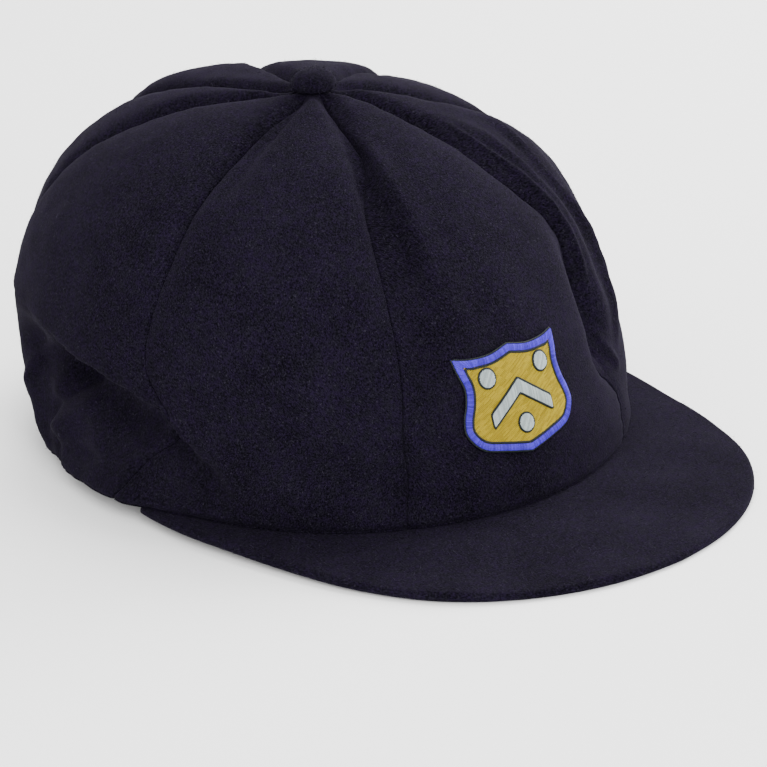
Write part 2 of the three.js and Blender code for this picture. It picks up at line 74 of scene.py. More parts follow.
def make_camera():
    rise = math.cos(CAMERA_RISE)
    back = Vector((math.sin(CAMERA_TURN) * rise, -math.cos(CAMERA_TURN) * rise, math.sin(CAMERA_RISE)))
    right = Vector((math.cos(CAMERA_TURN), math.sin(CAMERA_TURN), 0))
    up = back.cross(right)
    rolled_right = right * math.cos(CAMERA_ROLL) + up * math.sin(CAMERA_ROLL)
    rolled_up = up * math.cos(CAMERA_ROLL) - right * math.sin(CAMERA_ROLL)
    turned = Matrix((rolled_right, rolled_up, back)).transposed().to_4x4()
    data = bpy.data.cameras.new("camera")
    data.sensor_width = SENSOR_WIDTH
    data.lens = FOCAL_PIXELS * SENSOR_WIDTH / PICTURE_PIXELS
    camera = placed("camera", data)
    camera.matrix_world = Matrix.Translation(CAMERA_AIM + back * CAMERA_DISTANCE) @ turned
    bpy.context.scene.camera = camera
    return camera


camera = make_camera()
print("camera lens:", round(camera.data.lens, 1), "mm, at", [round(x, 3) for x in camera.location])

# %% [markdown]
# The crown is one soft dome with a few named heights. Each height has its own half length, half
# width and middle, and a smooth curve runs through them, so a place on the cap is just an angle
# round it and a level up it. The same tables shape the plain solids, so the fine cloth lands on
# them with no fitting. Folds are straight ridges and dents on that map.

# %% State the sizes of the crown
RIM_HALF_LENGTH = 97
RIM_HALF_WIDTH = 89
CROWN_HEIGHT = 112.6
WALL = 2.2
HEM = 3
SEAM_GAP = 0.3
PANEL_PUFF = 2.5
FOLD_HEIGHT = 6
FOLD_WIDTH = 10
TUCK_DEPTH = 9
TUCK_LIP = 1.6
HEM_FLARE = 4.5
GATHER_HEIGHT = 1.7
GATHER_COUNT = 27
PEAK_REACH = 51.8
PEAK_THICKNESS = 2.8
PEAK_FALL = 2.6
PEAK_ARCH = 2.6
PEAK_END_ANGLE = 81
PEAK_TWIST = 2.9
BUTTON_DIAMETER = 14.7
BUTTON_HEIGHT = 5.6
RIM_LIFT_FADES_AT = 3
GATHERS_FADE_AT = 2.7
REST_STARTS = 60
REST_IS_FLAT = 150
PILLOW_POWER = 2.6
TOP_LEVEL = 8
MM_PER_DEGREE = math.radians((RIM_HALF_LENGTH + RIM_HALF_WIDTH) / 2)
MM_PER_LEVEL = CROWN_HEIGHT / 6
FOLDS_GROW_BY = 0.6
HEM_STIFF_BELOW = 0.8
TUCK_TURN = 0.55
TUCK_HEM_SHARE = 0.25
TUCK_LIP_RISE = 0.12
TUCK_LIP_WIDTH = 0.45
FLARE_ENDS_AT = 1.3
GATHERS_START = 88
GATHERS_GROW_OVER = 24
GATHER_HEM_SHARE = 0.45
ORIGIN_SHIFT = np.array([0.17577, 18.81726, 0.0])

SECTIONS = {
    "front_height": [0, 0.125, 0.268, 0.429, 0.64, 0.83, 0.938, 0.992, 1],
    "rear_height": [0, 0.145, 0.321, 0.53, 0.736, 0.886, 0.966, 0.994, 1],
    "middle": [0, 0.052, 0.105, 0.13, 0.135, 0.145, 0.125, 0.06, 0.044],
    "half_length": [1, 1.02, 1.025, 0.995, 0.872, 0.66, 0.385, 0.125, 0.031],
    "half_width": [1, 1.025, 1.03, 1, 0.905, 0.665, 0.38, 0.137, 0.034],
    "puff": [0, 0.35, 0.5, 0.6, 0.9, 1, 0.9, 0.4, 0],
}
SEAMS = [
    [-28.5, -26, -24.5, -22.7, -21.3, -18.8, -14.4, -13.4, -15.2],
    [33, 34.5, 28.5, 31.5, 33, 28, 30, 36, 32],
    [71, 71, 71, 72.5, 72, 70, 62.5, 69, 73],
    [111, 111, 111, 113, 113, 110, 108, 114, 118],
    [150, 150, 150, 152, 154, 156, 158, 161, 163],
    [190, 190, 190, 191, 193, 198, 204, 207, 208],
    [232, 232, 232, 231.3, 232.7, 232.8, 235, 238, 248],
    [272.8, 281.6, 292.6, 287.4, 290.2, 291.5, 295.7, 299.5, 298],
]
PANELS = [
    "front_panel", "front_left_panel", "side_left_panel", "back_left_panel",
    "back_panel", "back_right_panel", "side_right_panel", "front_right_panel",
]
# Columns: angle, level, end angle, end level, height, width
FOLDS = [
    (31, 2.95, 31, 2.5, -0.9, 0.7),
    (38.5, 4.7, 36, 2.9, 0.35, 0.6),
    (52, 4.6, 44, 1.6, 0.2, 0.9),
    (-17, 4.9, -16.5, 3.4, -0.5, 0.7),
    (-12, 5.4, -11, 3.8, 0.25, 0.8),
    (-40, 1.5, -29, 0.8, -0.35, 0.9),
    (304, 6.1, 300, 5.5, -0.4, 0.6),
    (50, 1.3, 48, 3, -0.11, 2.2),
    (54, 4.7, 62, 4.5, 0.41, 1.3),
    (88, 4.8, 92, 5.1, -0.15, 1.4),
    (116, 5.3, 118, 5.1, 0.23, 1.2),
    (168, 5.6, 176, 5.4, 0.23, 1.6),
    (189, 4.9, 187, 4.7, 0.21, 1.3),
    (216, 4.3, 218, 3.9, 0.12, 1.6),
    (222, 3.5, 226, 3.2, -0.35, 1.5),
    (240, 2.8, 241, 2, 0.34, 1.6),
]
TUCKS = {
    "angle": [0, 60, 84, 100, 122, 150, 190, 218, 236, 250, 262, 275, 283, 290, 295.5, 303, 360],
    "edge_level": [
        1.2, 1.2, 2, 2.5, 2.7, 2.6, 2.6, 2.75, 2.78, 2.75, 2.68, 2.5, 2.35, 2.15, 1.65, 1.2, 1.2,
    ],
    "depth": [0, 0, 0.35, 0.8, 0.4, 0.2, 0.15, 0, 0.03, 0.65, 1, 1, 0.9, 0.7, 0.45, 0, 0],
    "flare": [0, 0, 0, 0.8, 0.6, 0.4, 0.2, 0.2, 0.25, 0.45, 0.7, 0.9, 0.3, 0, 0, 0, 0],
}
PEAK_OUTLINE = {
    "angle": [0, 10, 20, 30, 40, 50, 60, 70, PEAK_END_ANGLE],
    "reach": [1, 0.97, 0.888, 0.75, 0.551, 0.348, 0.2, 0.11, 0.02],
}

# %% [markdown]
# Numpy works on whole grids of places at once, which is much quicker than a loop over points. The
# curve through the table is a Catmull-Rom curve: it passes through every row, and its slope at a
# row comes from the two rows beside it.

# %% Turn an angle and a level into a place on the cloth


def mix(a, b, share):
    return a + (b - a) * share


def smooth(value):
    share = np.clip(value, 0, 1)
    return share * share * (3 - 2 * share)


def along_rows(values, place):
    values = np.asarray(values, float)
    place = np.asarray(place, float)
    row = np.clip(np.floor(place), 0, len(values) - 2).astype(int)
    share = place - row
    ends = [2 * values[0] - values[1], 2 * values[-1] - values[-2]]
    padded = np.concatenate([ends[:1], values, ends[1:]])
    before, here, after, beyond = (padded[row + step] for step in range(4))
    return 0.5 * (
        2 * here
        + (after - before) * share
        + (2 * before - 5 * here + 4 * after - beyond) * share**2
        + (3 * here - before - 3 * after + beyond) * share**3
    )


def row_after(rows, angle):
    """The row after an angle, and how far the angle lies from the row before towards it."""
    angles = np.asarray(rows["angle"], float)
    after = np.clip(np.searchsorted(angles, angle), 1, len(angles) - 1)
    return after, (angle - angles[after - 1]) / (angles[after] - angles[after - 1])


def at_angle(rows, column, angle):
    after, share = row_after(rows, angle)
    values = np.asarray(rows[column], float)
    return mix(values[after - 1], values[after], smooth(share))


def section_at(column, level):
    return along_rows(SECTIONS[column], level)


def seam_angle(seam, level):
    return 360 * (seam // len(SEAMS)) + along_rows(SEAMS[seam % len(SEAMS)], level)


def angle_from_front(angle):
    return np.abs((np.asarray(angle, float) + 180) % 360 - 180)


def rim_plan(angle):
    turn = np.radians(angle)
    return np.stack([RIM_HALF_WIDTH * np.sin(turn), -RIM_HALF_LENGTH * np.cos(turn)], -1)


def rim_outward(angle):
    turn = np.radians(angle)
    out = np.stack([np.sin(turn) / RIM_HALF_WIDTH, -np.cos(turn) / RIM_HALF_LENGTH], -1)
    return out / np.linalg.norm(out, axis=-1, keepdims=True)


def peak_reach(angle):
    twist = PEAK_TWIST * np.cos(np.asarray(angle, float) / PEAK_END_ANGLE * np.pi / 2)
    after, share = row_after(PEAK_OUTLINE, angle_from_front(angle - twist))
    return PEAK_REACH * along_rows(PEAK_OUTLINE["reach"], after - 1 + share)


def rest_share(angle):
    return smooth((angle_from_front(angle) - REST_STARTS) / (REST_IS_FLAT - REST_STARTS))


def peak_arch(plan):
    forward = -plan[..., 1] - RIM_HALF_LENGTH
    return -PEAK_FALL * forward / PEAK_REACH - PEAK_ARCH * (plan[..., 0] / RIM_HALF_WIDTH) ** 2


def peak_edge_plan(angle):
    return rim_plan(angle) + rim_outward(angle) * peak_reach(angle)[..., None]


PEAK_ANGLES = np.arange(-PEAK_END_ANGLE, PEAK_END_ANGLE + 1.0)
PEAK_ROOT_HEIGHT = PEAK_THICKNESS - peak_arch(peak_edge_plan(PEAK_ANGLES)).min()


def peak_top(angle, plan):
    return (PEAK_ROOT_HEIGHT + peak_arch(plan)) * (1 - rest_share(angle))


def rim_height(angle):
    return peak_top(angle, rim_plan(angle)) + SEAM_GAP * (1 - rest_share(angle))


def flat_place(angle, level, start):
    """Millimetres round the cap and up it, from a starting angle and level."""
    around = ((angle - start[0] + 180) % 360 - 180) * MM_PER_DEGREE
    return around, (level - start[1]) * MM_PER_LEVEL


def fold_height(angle, level):
    height = np.zeros(np.shape(angle))
    for start, start_level, end, end_level, rise, width in FOLDS:
        along = (end - start) * MM_PER_DEGREE
        up = (end_level - start_level) * MM_PER_LEVEL
        x, y = flat_place(angle, level, (start, start_level))
        length = math.hypot(along, up)
        share = (x * along + y * up) / length**2
        past = (share - np.clip(share, 0, 1)) * length
        aside = (x * up - y * along) / length
        wide = FOLD_WIDTH * width
        height += FOLD_HEIGHT * rise * np.exp(-((aside / wide) ** 2) - (past / (2 * wide)) ** 2)
    return height * smooth(level / FOLDS_GROW_BY)


def tuck_height(angle, level):
    place = np.asarray(angle, float) % 360
    depth = TUCK_DEPTH * at_angle(TUCKS, "depth", place)
    edge = at_angle(TUCKS, "edge_level", place)
    below = edge - level
    drawn_in = smooth(below / TUCK_TURN) * mix(TUCK_HEM_SHARE, 1, smooth(level / edge / 0.9))
    drawn_in = drawn_in * smooth(level / 0.5)
    lip = np.exp(-(((below + TUCK_LIP_RISE) / TUCK_LIP_WIDTH) ** 2))
    flare = HEM_FLARE * at_angle(TUCKS, "flare", place) * (1 - smooth(level / FLARE_ENDS_AT))
    return -depth * drawn_in + TUCK_LIP * depth / TUCK_DEPTH * lip + flare


def gather_height(angle, level):
    reach = smooth((angle_from_front(angle) - GATHERS_START) / GATHERS_GROW_OVER)
    fade = smooth((GATHERS_FADE_AT - level) / GATHERS_FADE_AT * 1.4)
    fade = fade * mix(GATHER_HEM_SHARE, 1, smooth(level / HEM_STIFF_BELOW))
    turn = np.radians(angle)
    sway = 0.9 * np.sin(3 * turn) + 0.7 * np.sin(5 * turn + 1)
    return GATHER_HEIGHT * reach * fade * np.sin(GATHER_COUNT * turn + sway)


def form_point(angle, level):
    turn = np.radians(angle)
    front = section_at("front_height", level)
    rear = section_at("rear_height", level)
    lift = rim_height(angle) * np.clip(1 - level / RIM_LIFT_FADES_AT, 0, 1)
    width = RIM_HALF_WIDTH * section_at("half_width", level)
    middle = section_at("middle", level)
    return np.stack(
        [
            width * np.sin(turn),
            RIM_HALF_LENGTH * (middle - section_at("half_length", level) * np.cos(turn)),
            CROWN_HEIGHT * mix(front, rear, (1 - np.cos(turn)) / 2) + lift,
        ],
        -1,
    )


def unit(vectors):
    return vectors / np.maximum(np.linalg.norm(vectors, axis=-1, keepdims=True), 1e-9)


def outward_of(point_at, angle, level, angle_step, level_step):
    low = np.maximum(0, level - level_step)
    high = np.minimum(TOP_LEVEL, level + level_step)
    around = point_at(angle + angle_step, level) - point_at(angle - angle_step, level)
    outward = unit(np.cross(around, point_at(angle, high) - point_at(angle, low)))
    outward[..., 2] *= smooth(level / HEM_STIFF_BELOW)
    return unit(outward)


def folded_point(angle, level):
    height = fold_height(angle, level) + tuck_height(angle, level) + gather_height(angle, level)
    outward = outward_of(form_point, angle, level, 1, 0.05)
    return form_point(angle, level) + outward * height[..., None]


print("peak root stands", round(float(PEAK_ROOT_HEIGHT), 2), "mm above the floor")

# %% [markdown]
# The plain solids stop there. Real melton is never so even: it swells between the seams, sinks
# sharply where two panels turn in to be sewn, puckers a little along the stitches and waves over
# the hand's width. These small forms are real geometry here, so they also show on the outline.
# Waves are sums of sines with a fixed seed, so neighbouring panels meet in the same place. Single
# creases come from a table, and so does the dark recess under the back's overhang.

# %% Add the small forms of sewn cloth
SEAM_TURN_RADIUS = (0.9, 1.5)
SEAM_VALLEY_DEPTH = (0.5, 3.0)
SEAM_VALLEY_WIDTH = 2.7
SEAM_DEEPENS_FROM = 3.5
SEAM_DEEPENS_OVER = 2.5
PUCKER_HEIGHT = 0.12
PUCKER_REACH = 7
PUCKER_BEATS = (2.6, 4.3)
PUCKER_PHASE = 1.7
UNDERCUT_DEPTH = 4.8
UNDERCUT_LIFT = 0.2
UNDERCUT_RISE = 0.15
UNDERCUT_FADES_FROM = 0.65
UNDERCUT_FADES_OVER = 0.9
ALLOWANCE_WIDTH = 7
ALLOWANCE_THICKNESS = 1.1
HEM_ROUNDING = 2.3
WAVE_HEIGHT = 0.3
RIPPLE_HEIGHT = 0.09
FINE_GATHER_HEIGHT = 0.45
FINE_GATHER_COUNT = GATHER_COUNT * 2.37
FINE_GATHERS_START = 92
FINE_GATHERS_GROW_OVER = 20
FINE_GATHERS_END_AT = 2
SEAMS_CLOSE_OVER = 1.2
WAVE_SEED = 11

# Each crease has a height and a width, then its path as pairs of angle and level
CREASES = [
    (1.2, 1.2, [(38, 5.7), (34, 5.35), (33.2, 5), (34.4, 4.6),
                (35.2, 4.2), (35.2, 3.7), (34.5, 3.15), (33.6, 2.8)]),
    (-1.0, 1.0, [(32.2, 4.4), (32.8, 4), (32.5, 3.6), (32.1, 3.3),
                 (31.6, 3), (31.2, 2.7), (30.8, 2.3), (32, 1.6)]),
    (2.0, 1.9, [(56, 5.15), (50, 5), (46.5, 4.8), (43, 4.55), (42.5, 4.3),
                (44.5, 3.95), (46, 3.4), (42, 2.5), (39, 1.6)]),
    (-0.7, 1.6, [(45, 5.3), (39.5, 4.9), (39, 4.4), (41, 4), (42, 3.6), (41, 3.2), (38.5, 2.8)]),
    (-0.6, 3.0, [(60, 4.9), (52, 4.3), (52, 3.7)]),
    (1.1, 1.6, [(32.6, 2.6), (33.8, 2.2), (35.8, 1.8), (38, 1.4)]),
    (-0.8, 3.0, [(-16.5, 5.4), (-16.3, 4.8), (-15.8, 4.4), (-15.5, 4.1), (-16, 3.5)]),
    (0.6, 2.2, [(-13, 5.5), (-11.5, 5), (-11.3, 4.6), (-11.5, 4.2), (-12.5, 3.7)]),
    (0.9, 2.6, [(-22, 3.6), (-20, 3.15), (-18.3, 2.85), (-16, 2.4)]),
    (-1.0, 2.6, [(-19, 3.7), (-16, 3.2), (-13.5, 2.7)]),
    (0.7, 2.6, [(-44, 1.15), (-35, 1.45), (-27, 1.75)]),
    (-0.6, 2.6, [(-43, 1.5), (-34, 1.8), (-27, 2.15)]),
    (1.4, 2.0, [(-98, 2.7), (-110, 2.2), (-115, 1.8), (-118, 1.4), (-119, 0.9)]),
    (2.3, 2.6, [(-89, 1.95), (-95, 1.6), (-101, 1.2), (-108, 0.8), (-114, 0.5)]),
    (-2.4, 2.0, [(-92, 2.15), (-99, 1.8), (-105, 1.4), (-111, 1)]),
    (-3.0, 3.4, [(-78, 2.35), (-86, 2.3), (-95, 2.15), (-104, 1.95)]),
    (-1.8, 2.2, [(-108, 0.45), (-99, 0.6), (-90, 0.75)]),
    (-1.0, 3.0, [(-80, 1.75), (-86, 1.2), (-91, 0.8)]),
    (1.1, 2.2, [(-69, 1.95), (-76, 1.35), (-82, 0.85), (-85, 0.45)]),
    (0.8, 2.2, [(-69.5, 2.25), (-66.5, 2), (-64.5, 1.8), (-62.5, 1.5), (-61, 1.2)]),
]

dice = np.random.default_rng(WAVE_SEED)


def wave_set(count, shortest, longest):
    directions = unit(dice.normal(size=(count, 3)))
    lengths = dice.uniform(shortest, longest, count)
    return directions * (2 * np.pi / lengths)[:, None], dice.uniform(0, 2 * np.pi, count)


LONG_WAVES = wave_set(9, 24, 60)
SHORT_WAVES = wave_set(12, 6, 13)


def waves(points, wave_numbers):
    turns, starts = wave_numbers
    return np.sin(points @ turns.T + starts).mean(-1) * math.sqrt(len(starts))


def pillow(across):
    return 1 - np.abs(2 * across - 1) ** PILLOW_POWER - (1 - 1 / (PILLOW_POWER + 1))


def rolled(distance, radius):
    near = np.clip(distance, 0, radius)
    return np.sqrt(np.maximum(radius**2 - (radius - near) ** 2, 0)) - radius


def seam_forms(seam, level, distance):
    """How far the cloth stands out near a seam, at a distance from it along the cloth."""
    deeper = smooth((level - SEAM_DEEPENS_FROM) / SEAM_DEEPENS_OVER)
    valley = -mix(*SEAM_VALLEY_DEPTH, deeper) * np.exp(-((distance / SEAM_VALLEY_WIDTH) ** 2))
    phase = PUCKER_PHASE * seam
    slow, quick = (2 * np.pi * level * beat for beat in PUCKER_BEATS)
    beat = np.sin(slow + phase) + 0.6 * np.sin(quick + 2 * phase)
    pucker = PUCKER_HEIGHT * beat * np.exp(-((distance / PUCKER_REACH) ** 2))
    turned = rolled(distance, mix(*SEAM_TURN_RADIUS, deeper))
    return (turned + valley + pucker) * smooth((TOP_LEVEL - level) / SEAMS_CLOSE_OVER)


def crease_height(angle, level):
    """How far the creases lift or sink the cloth, fading out towards the ends of each path."""
    total = np.zeros(np.shape(angle))
    for height, width, path in CREASES:
        path = np.array(path, float)
        x, y = flat_place(angle, level, path[0])
        marks = (path - path[0]) * [MM_PER_DEGREE, MM_PER_LEVEL]
        runs = np.diff(marks, axis=0)
        nearest, along, passed = np.full(np.shape(x), np.inf), np.zeros(np.shape(x)), 0
        for start, run, length in zip(marks, runs, np.linalg.norm(runs, axis=1)):
            share = np.clip(((x - start[0]) * run[0] + (y - start[1]) * run[1]) / length**2, 0, 1)
            away = np.hypot(x - start[0] - share * run[0], y - start[1] - share * run[1])
            along = np.where(away < nearest, passed + share * length, along)
            nearest = np.minimum(nearest, away)
            passed += length
        fade = smooth(4 * along / passed) * smooth(4 * (1 - along / passed))
        total += height * fade * np.exp(-((nearest / width) ** 2))
    return total


def undercut(angle, level):
    """The recess right below the overhang's edge."""
    place = np.asarray(angle, float) % 360
    below = at_angle(TUCKS, "edge_level", place) + UNDERCUT_LIFT - level
    fade = smooth(1 - (below - UNDERCUT_FADES_FROM) / UNDERCUT_FADES_OVER)
    depth = -UNDERCUT_DEPTH * at_angle(TUCKS, "depth", place)
    return depth * (smooth(below / UNDERCUT_RISE) * fade) * smooth(level / HEM_STIFF_BELOW)


def skin_points(angle, level, across, seam, fine=True):
    """The outside of the crown and the inside behind it, in the cap's own millimetres."""
    outward = outward_of(folded_point, angle, level, 2.5, 0.16)
    base = folded_point(angle, level)
    height = PANEL_PUFF * section_at("puff", level) * pillow(across)
    wall = mix(HEM, WALL, smooth(level / 0.7))
    if fine:
        width = np.radians(seam_angle(seam + 1, level) - seam_angle(seam, level))
        width = width * RIM_HALF_WIDTH * section_at("half_width", level)
        from_first, from_next = across * width, (1 - across) * width
        height = height + seam_forms(seam, level, from_first) + seam_forms(seam + 1, level, from_next)
        height = height + crease_height(angle, level) + undercut(angle, level)
        loose = smooth(level / HEM_STIFF_BELOW) * smooth((TOP_LEVEL - 0.4 - level) / 1.5)
        height = height + loose * WAVE_HEIGHT * waves(base, LONG_WAVES)
        height = height + loose * RIPPLE_HEIGHT * waves(base, SHORT_WAVES)
        behind = smooth((angle_from_front(angle) - FINE_GATHERS_START) / FINE_GATHERS_GROW_OVER)
        behind = behind * smooth((FINE_GATHERS_END_AT - level) / 1.6)
        fine_gathers = np.sin(np.radians(angle) * FINE_GATHER_COUNT)
        height = height + FINE_GATHER_HEIGHT * behind * fine_gathers
        nearest = np.minimum(from_first, from_next)
        allowance = ALLOWANCE_THICKNESS * smooth((ALLOWANCE_WIDTH - nearest) / 0.8)
        wall = wall + allowance * smooth(level / 0.5)
    outside = base + outward * height[..., None]
    inside = outside - outward * wall[..., None]
    return outside, inside, outward


def to_metres(points):
    return (np.asarray(points, float) + ORIGIN_SHIFT) * MM


def mesh_piece(name, points, faces, uvs=None):
    mesh = bpy.data.meshes.new(name)
    mesh.from_pydata(points.tolist(), [], [list(map(int, face)) for face in faces])
    if uvs is not None:
        layer = mesh.uv_layers.new(name="cloth")
        corners = np.zeros(len(mesh.loops), int)
        mesh.loops.foreach_get("vertex_index", corners)
        layer.data.foreach_set("uv", np.asarray(uvs, np.float32)[corners].ravel())
    mesh.polygons.foreach_set("use_smooth", np.ones(len(mesh.polygons), bool))
    mesh.update()
    return placed(name, mesh)


def path_lengths(points, axis=0):
    """How far along its path each point lies."""
    steps = np.linalg.norm(np.diff(points, axis=axis), axis=-1)
    start = np.zeros_like(np.take(steps, [0], axis))
    return np.concatenate([start, np.cumsum(steps, axis=axis)], axis)


def fan(middle, ring, flipped=False):
    """Triangles from a middle point to each step round a ring, all given as point numbers."""
    pair = (np.roll(ring, -1), ring) if flipped else (ring, np.roll(ring, -1))
    return np.stack([np.full(len(ring), middle), *pair], -1)


def grid_faces(rows, columns, first=0, wrap_rows=False, wrap_columns=False):
    row = np.arange(rows if wrap_rows else rows - 1)
    column = np.arange(columns if wrap_columns else columns - 1)
    row, column = (part.ravel() for part in np.meshgrid(row, column, indexing="ij"))
    up, over = (row + 1) % rows, (column + 1) % columns
    return first + np.stack(
        [row * columns + column, row * columns + over, up * columns + over, up * columns + column], -1
    )


# %% [markdown]
# A panel is a long ring of rows: up the outside, over the eye at the top, down the inside and
# round the turned hem. Its columns crowd towards the two seams, because that is where the cloth
# bends most. The two cut sides are closed by a strip each, so the panel is one closed body.

# %% Make the eight panels
PANEL_COLUMNS = 72
ROWS_PER_LEVEL = [14, 15, 16, 16, 16, 14, 12, 6]
COLUMN_CROWDING = 0.88
VISIBLE_GAP = 0.004


def row_levels():
    parts = [np.arange(rows) / rows + level for level, rows in enumerate(ROWS_PER_LEVEL)]
    crowded = np.array([0.02, 0.045])
    return np.unique(np.concatenate([*parts, crowded, [TOP_LEVEL]]))


def panel_columns():
    share = np.linspace(0, 1, PANEL_COLUMNS + 1)
    return share - COLUMN_CROWDING * np.sin(2 * np.pi * share) / (2 * np.pi)


def panel_grid(seam):
    levels, across = row_levels(), panel_columns()
    level, across = np.meshgrid(levels, across, indexing="ij")
    radius = RIM_HALF_WIDTH * section_at("half_width", level)
    half_gap = np.degrees(VISIBLE_GAP / 2 / radius)
    angle = mix(seam_angle(seam, level) + half_gap, seam_angle(seam + 1, level) - half_gap, across)
    outside, inside, outward = skin_points(angle, level, across, seam)
    up = path_lengths(outside)
    turned_in = rolled(up, HEM_ROUNDING)[..., None] * outward
    outside, inside = outside + turned_in, inside - turned_in
    inside[0, :, 2] = outside[0, :, 2]
    width = np.radians(seam_angle(seam + 1, level) - seam_angle(seam, level)) * radius
    uv = np.stack([(across - 0.5) * width, up.mean(1, keepdims=True) + 0 * up], -1) * MM
    return outside, inside, uv


def make_panel(seam, name):
    outside, inside, uv = panel_grid(seam)
    rows, columns = outside.shape[:2]
    points = to_metres(np.concatenate([outside.reshape(-1, 3), inside.reshape(-1, 3)]))
    count = rows * columns
    out = grid_faces(rows, columns)
    back = out[:, ::-1] + count
    column = np.arange(columns - 1)
    top = (rows - 1) * columns
    rim = np.stack([column, count + column, count + column + 1, column + 1], -1)
    eye = np.stack([top + column + 1, count + top + column + 1, count + top + column, top + column], -1)
    row = np.arange(rows - 1) * columns
    first = np.stack([row, row + columns, count + row + columns, count + row], -1)
    last = first[:, ::-1] + columns - 1
    faces = np.concatenate([out, back, rim, eye, first, last])
    piece = mesh_piece("cloth_" + name, points, faces, np.tile(uv.reshape(-1, 2), (2, 1)))
    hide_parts(name)
    return piece


panels = [make_panel(seam, name) for seam, name in enumerate(PANELS)]
print("panels:", len(panels), "with", sum(len(p.data.polygons) for p in panels), "faces")

# %% [markdown]
# The peak is a stiff board covered in the same wool. Its root runs under the crown's hem, its top
# falls and arches a little, and its cloth turns round the edge. It is made as rings along the
# rim's angle, each ring going out over the top, round the edge and back below.

# %% Make the peak
PEAK_COLUMNS = 150
PEAK_TOP_ROWS = 26
PEAK_EDGE_ROWS = 9
PEAK_WAVE = 0.3
PEAK_RIPPLE_SHARE = 0.6
PEAK_WAVE_GROWS_OVER = 12
PEAK_WAVE_MOST = 0.5


def make_peak():
    angle = np.linspace(-PEAK_END_ANGLE, PEAK_END_ANGLE, PEAK_COLUMNS + 1)
    reach = peak_reach(angle)
    round_radius = PEAK_THICKNESS / 2
    rows = np.arange(PEAK_TOP_ROWS) / PEAK_TOP_ROWS
    turns = np.linspace(0, np.pi, PEAK_EDGE_ROWS + 1)
    flat = mix(-HEM, (reach - round_radius)[:, None], rows[None, :])
    edge = (reach - round_radius)[:, None] + round_radius * np.sin(turns)[None, :]
    out = np.concatenate([flat, edge, flat[:, ::-1]], 1)
    below = np.concatenate(
        [0 * rows, round_radius - round_radius * np.cos(turns), 0 * rows + PEAK_THICKNESS]
    )
    plan = rim_plan(angle)[:, None, :] + rim_outward(angle)[:, None, :] * out[..., None]
    shown = np.where(out[..., None] > 0, plan, rim_plan(angle)[:, None, :])
    height = peak_top(angle[:, None], shown)
    points = np.concatenate([plan, (height - below)[..., None]], -1)
    wave = PEAK_WAVE * waves(points, LONG_WAVES)
    wave += PEAK_RIPPLE_SHARE * RIPPLE_HEIGHT * waves(points, SHORT_WAVES)
    before_end = PEAK_END_ANGLE - angle_from_front(angle)[:, None]
    free = smooth((out - 1) / PEAK_WAVE_GROWS_OVER) * smooth(before_end / PEAK_WAVE_GROWS_OVER)
    wave = np.clip(wave, -PEAK_WAVE_MOST, PEAK_WAVE_MOST) * free
    points[..., 2] += wave * np.where(below > round_radius, 0, 1)
    columns = points.shape[1]
    path = path_lengths(points, 1)
    uv = (plan[:, :1] + rim_outward(angle)[:, None, :] * path[..., None]) * MM
    every = np.concatenate([points.reshape(-1, 3), [points[0].mean(0), points[-1].mean(0)]])
    count, ring = len(points) * columns, np.arange(columns)
    ends = [*fan(count, ring, True), *fan(count + 1, count - columns + ring)]
    faces = [*grid_faces(len(angle), columns, wrap_columns=True), *ends]
    uvs = np.concatenate([uv.reshape(-1, 2), uv[[0, -1], 0]])
    piece = mesh_piece("cloth_peak", to_metres(every), faces, uvs)
    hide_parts("peak")
    return piece


peak = make_peak()
print("peak:", len(peak.data.polygons), "faces")

# %% [markdown]
# The button is a small metal shell covered in a disc of the same wool, drawn together beneath it.
# The cloth is smooth on the dome and creases towards its edge, where it goes under.

# %% Make the covered button
BUTTON_COLUMNS = 72
BUTTON_ROWS = 20
BUTTON_PLEATS = 13
BUTTON_FOOT = 0.8
BUTTON_ROUNDNESS = 0.75
BUTTON_FOOT_SHARES = (0.9, 0.97)
PLEAT_DEPTH = 0.022
PLEATS_END_AT = 0.55
BUTTON_OVAL = 0.012
BUTTON_DENT = 0.1


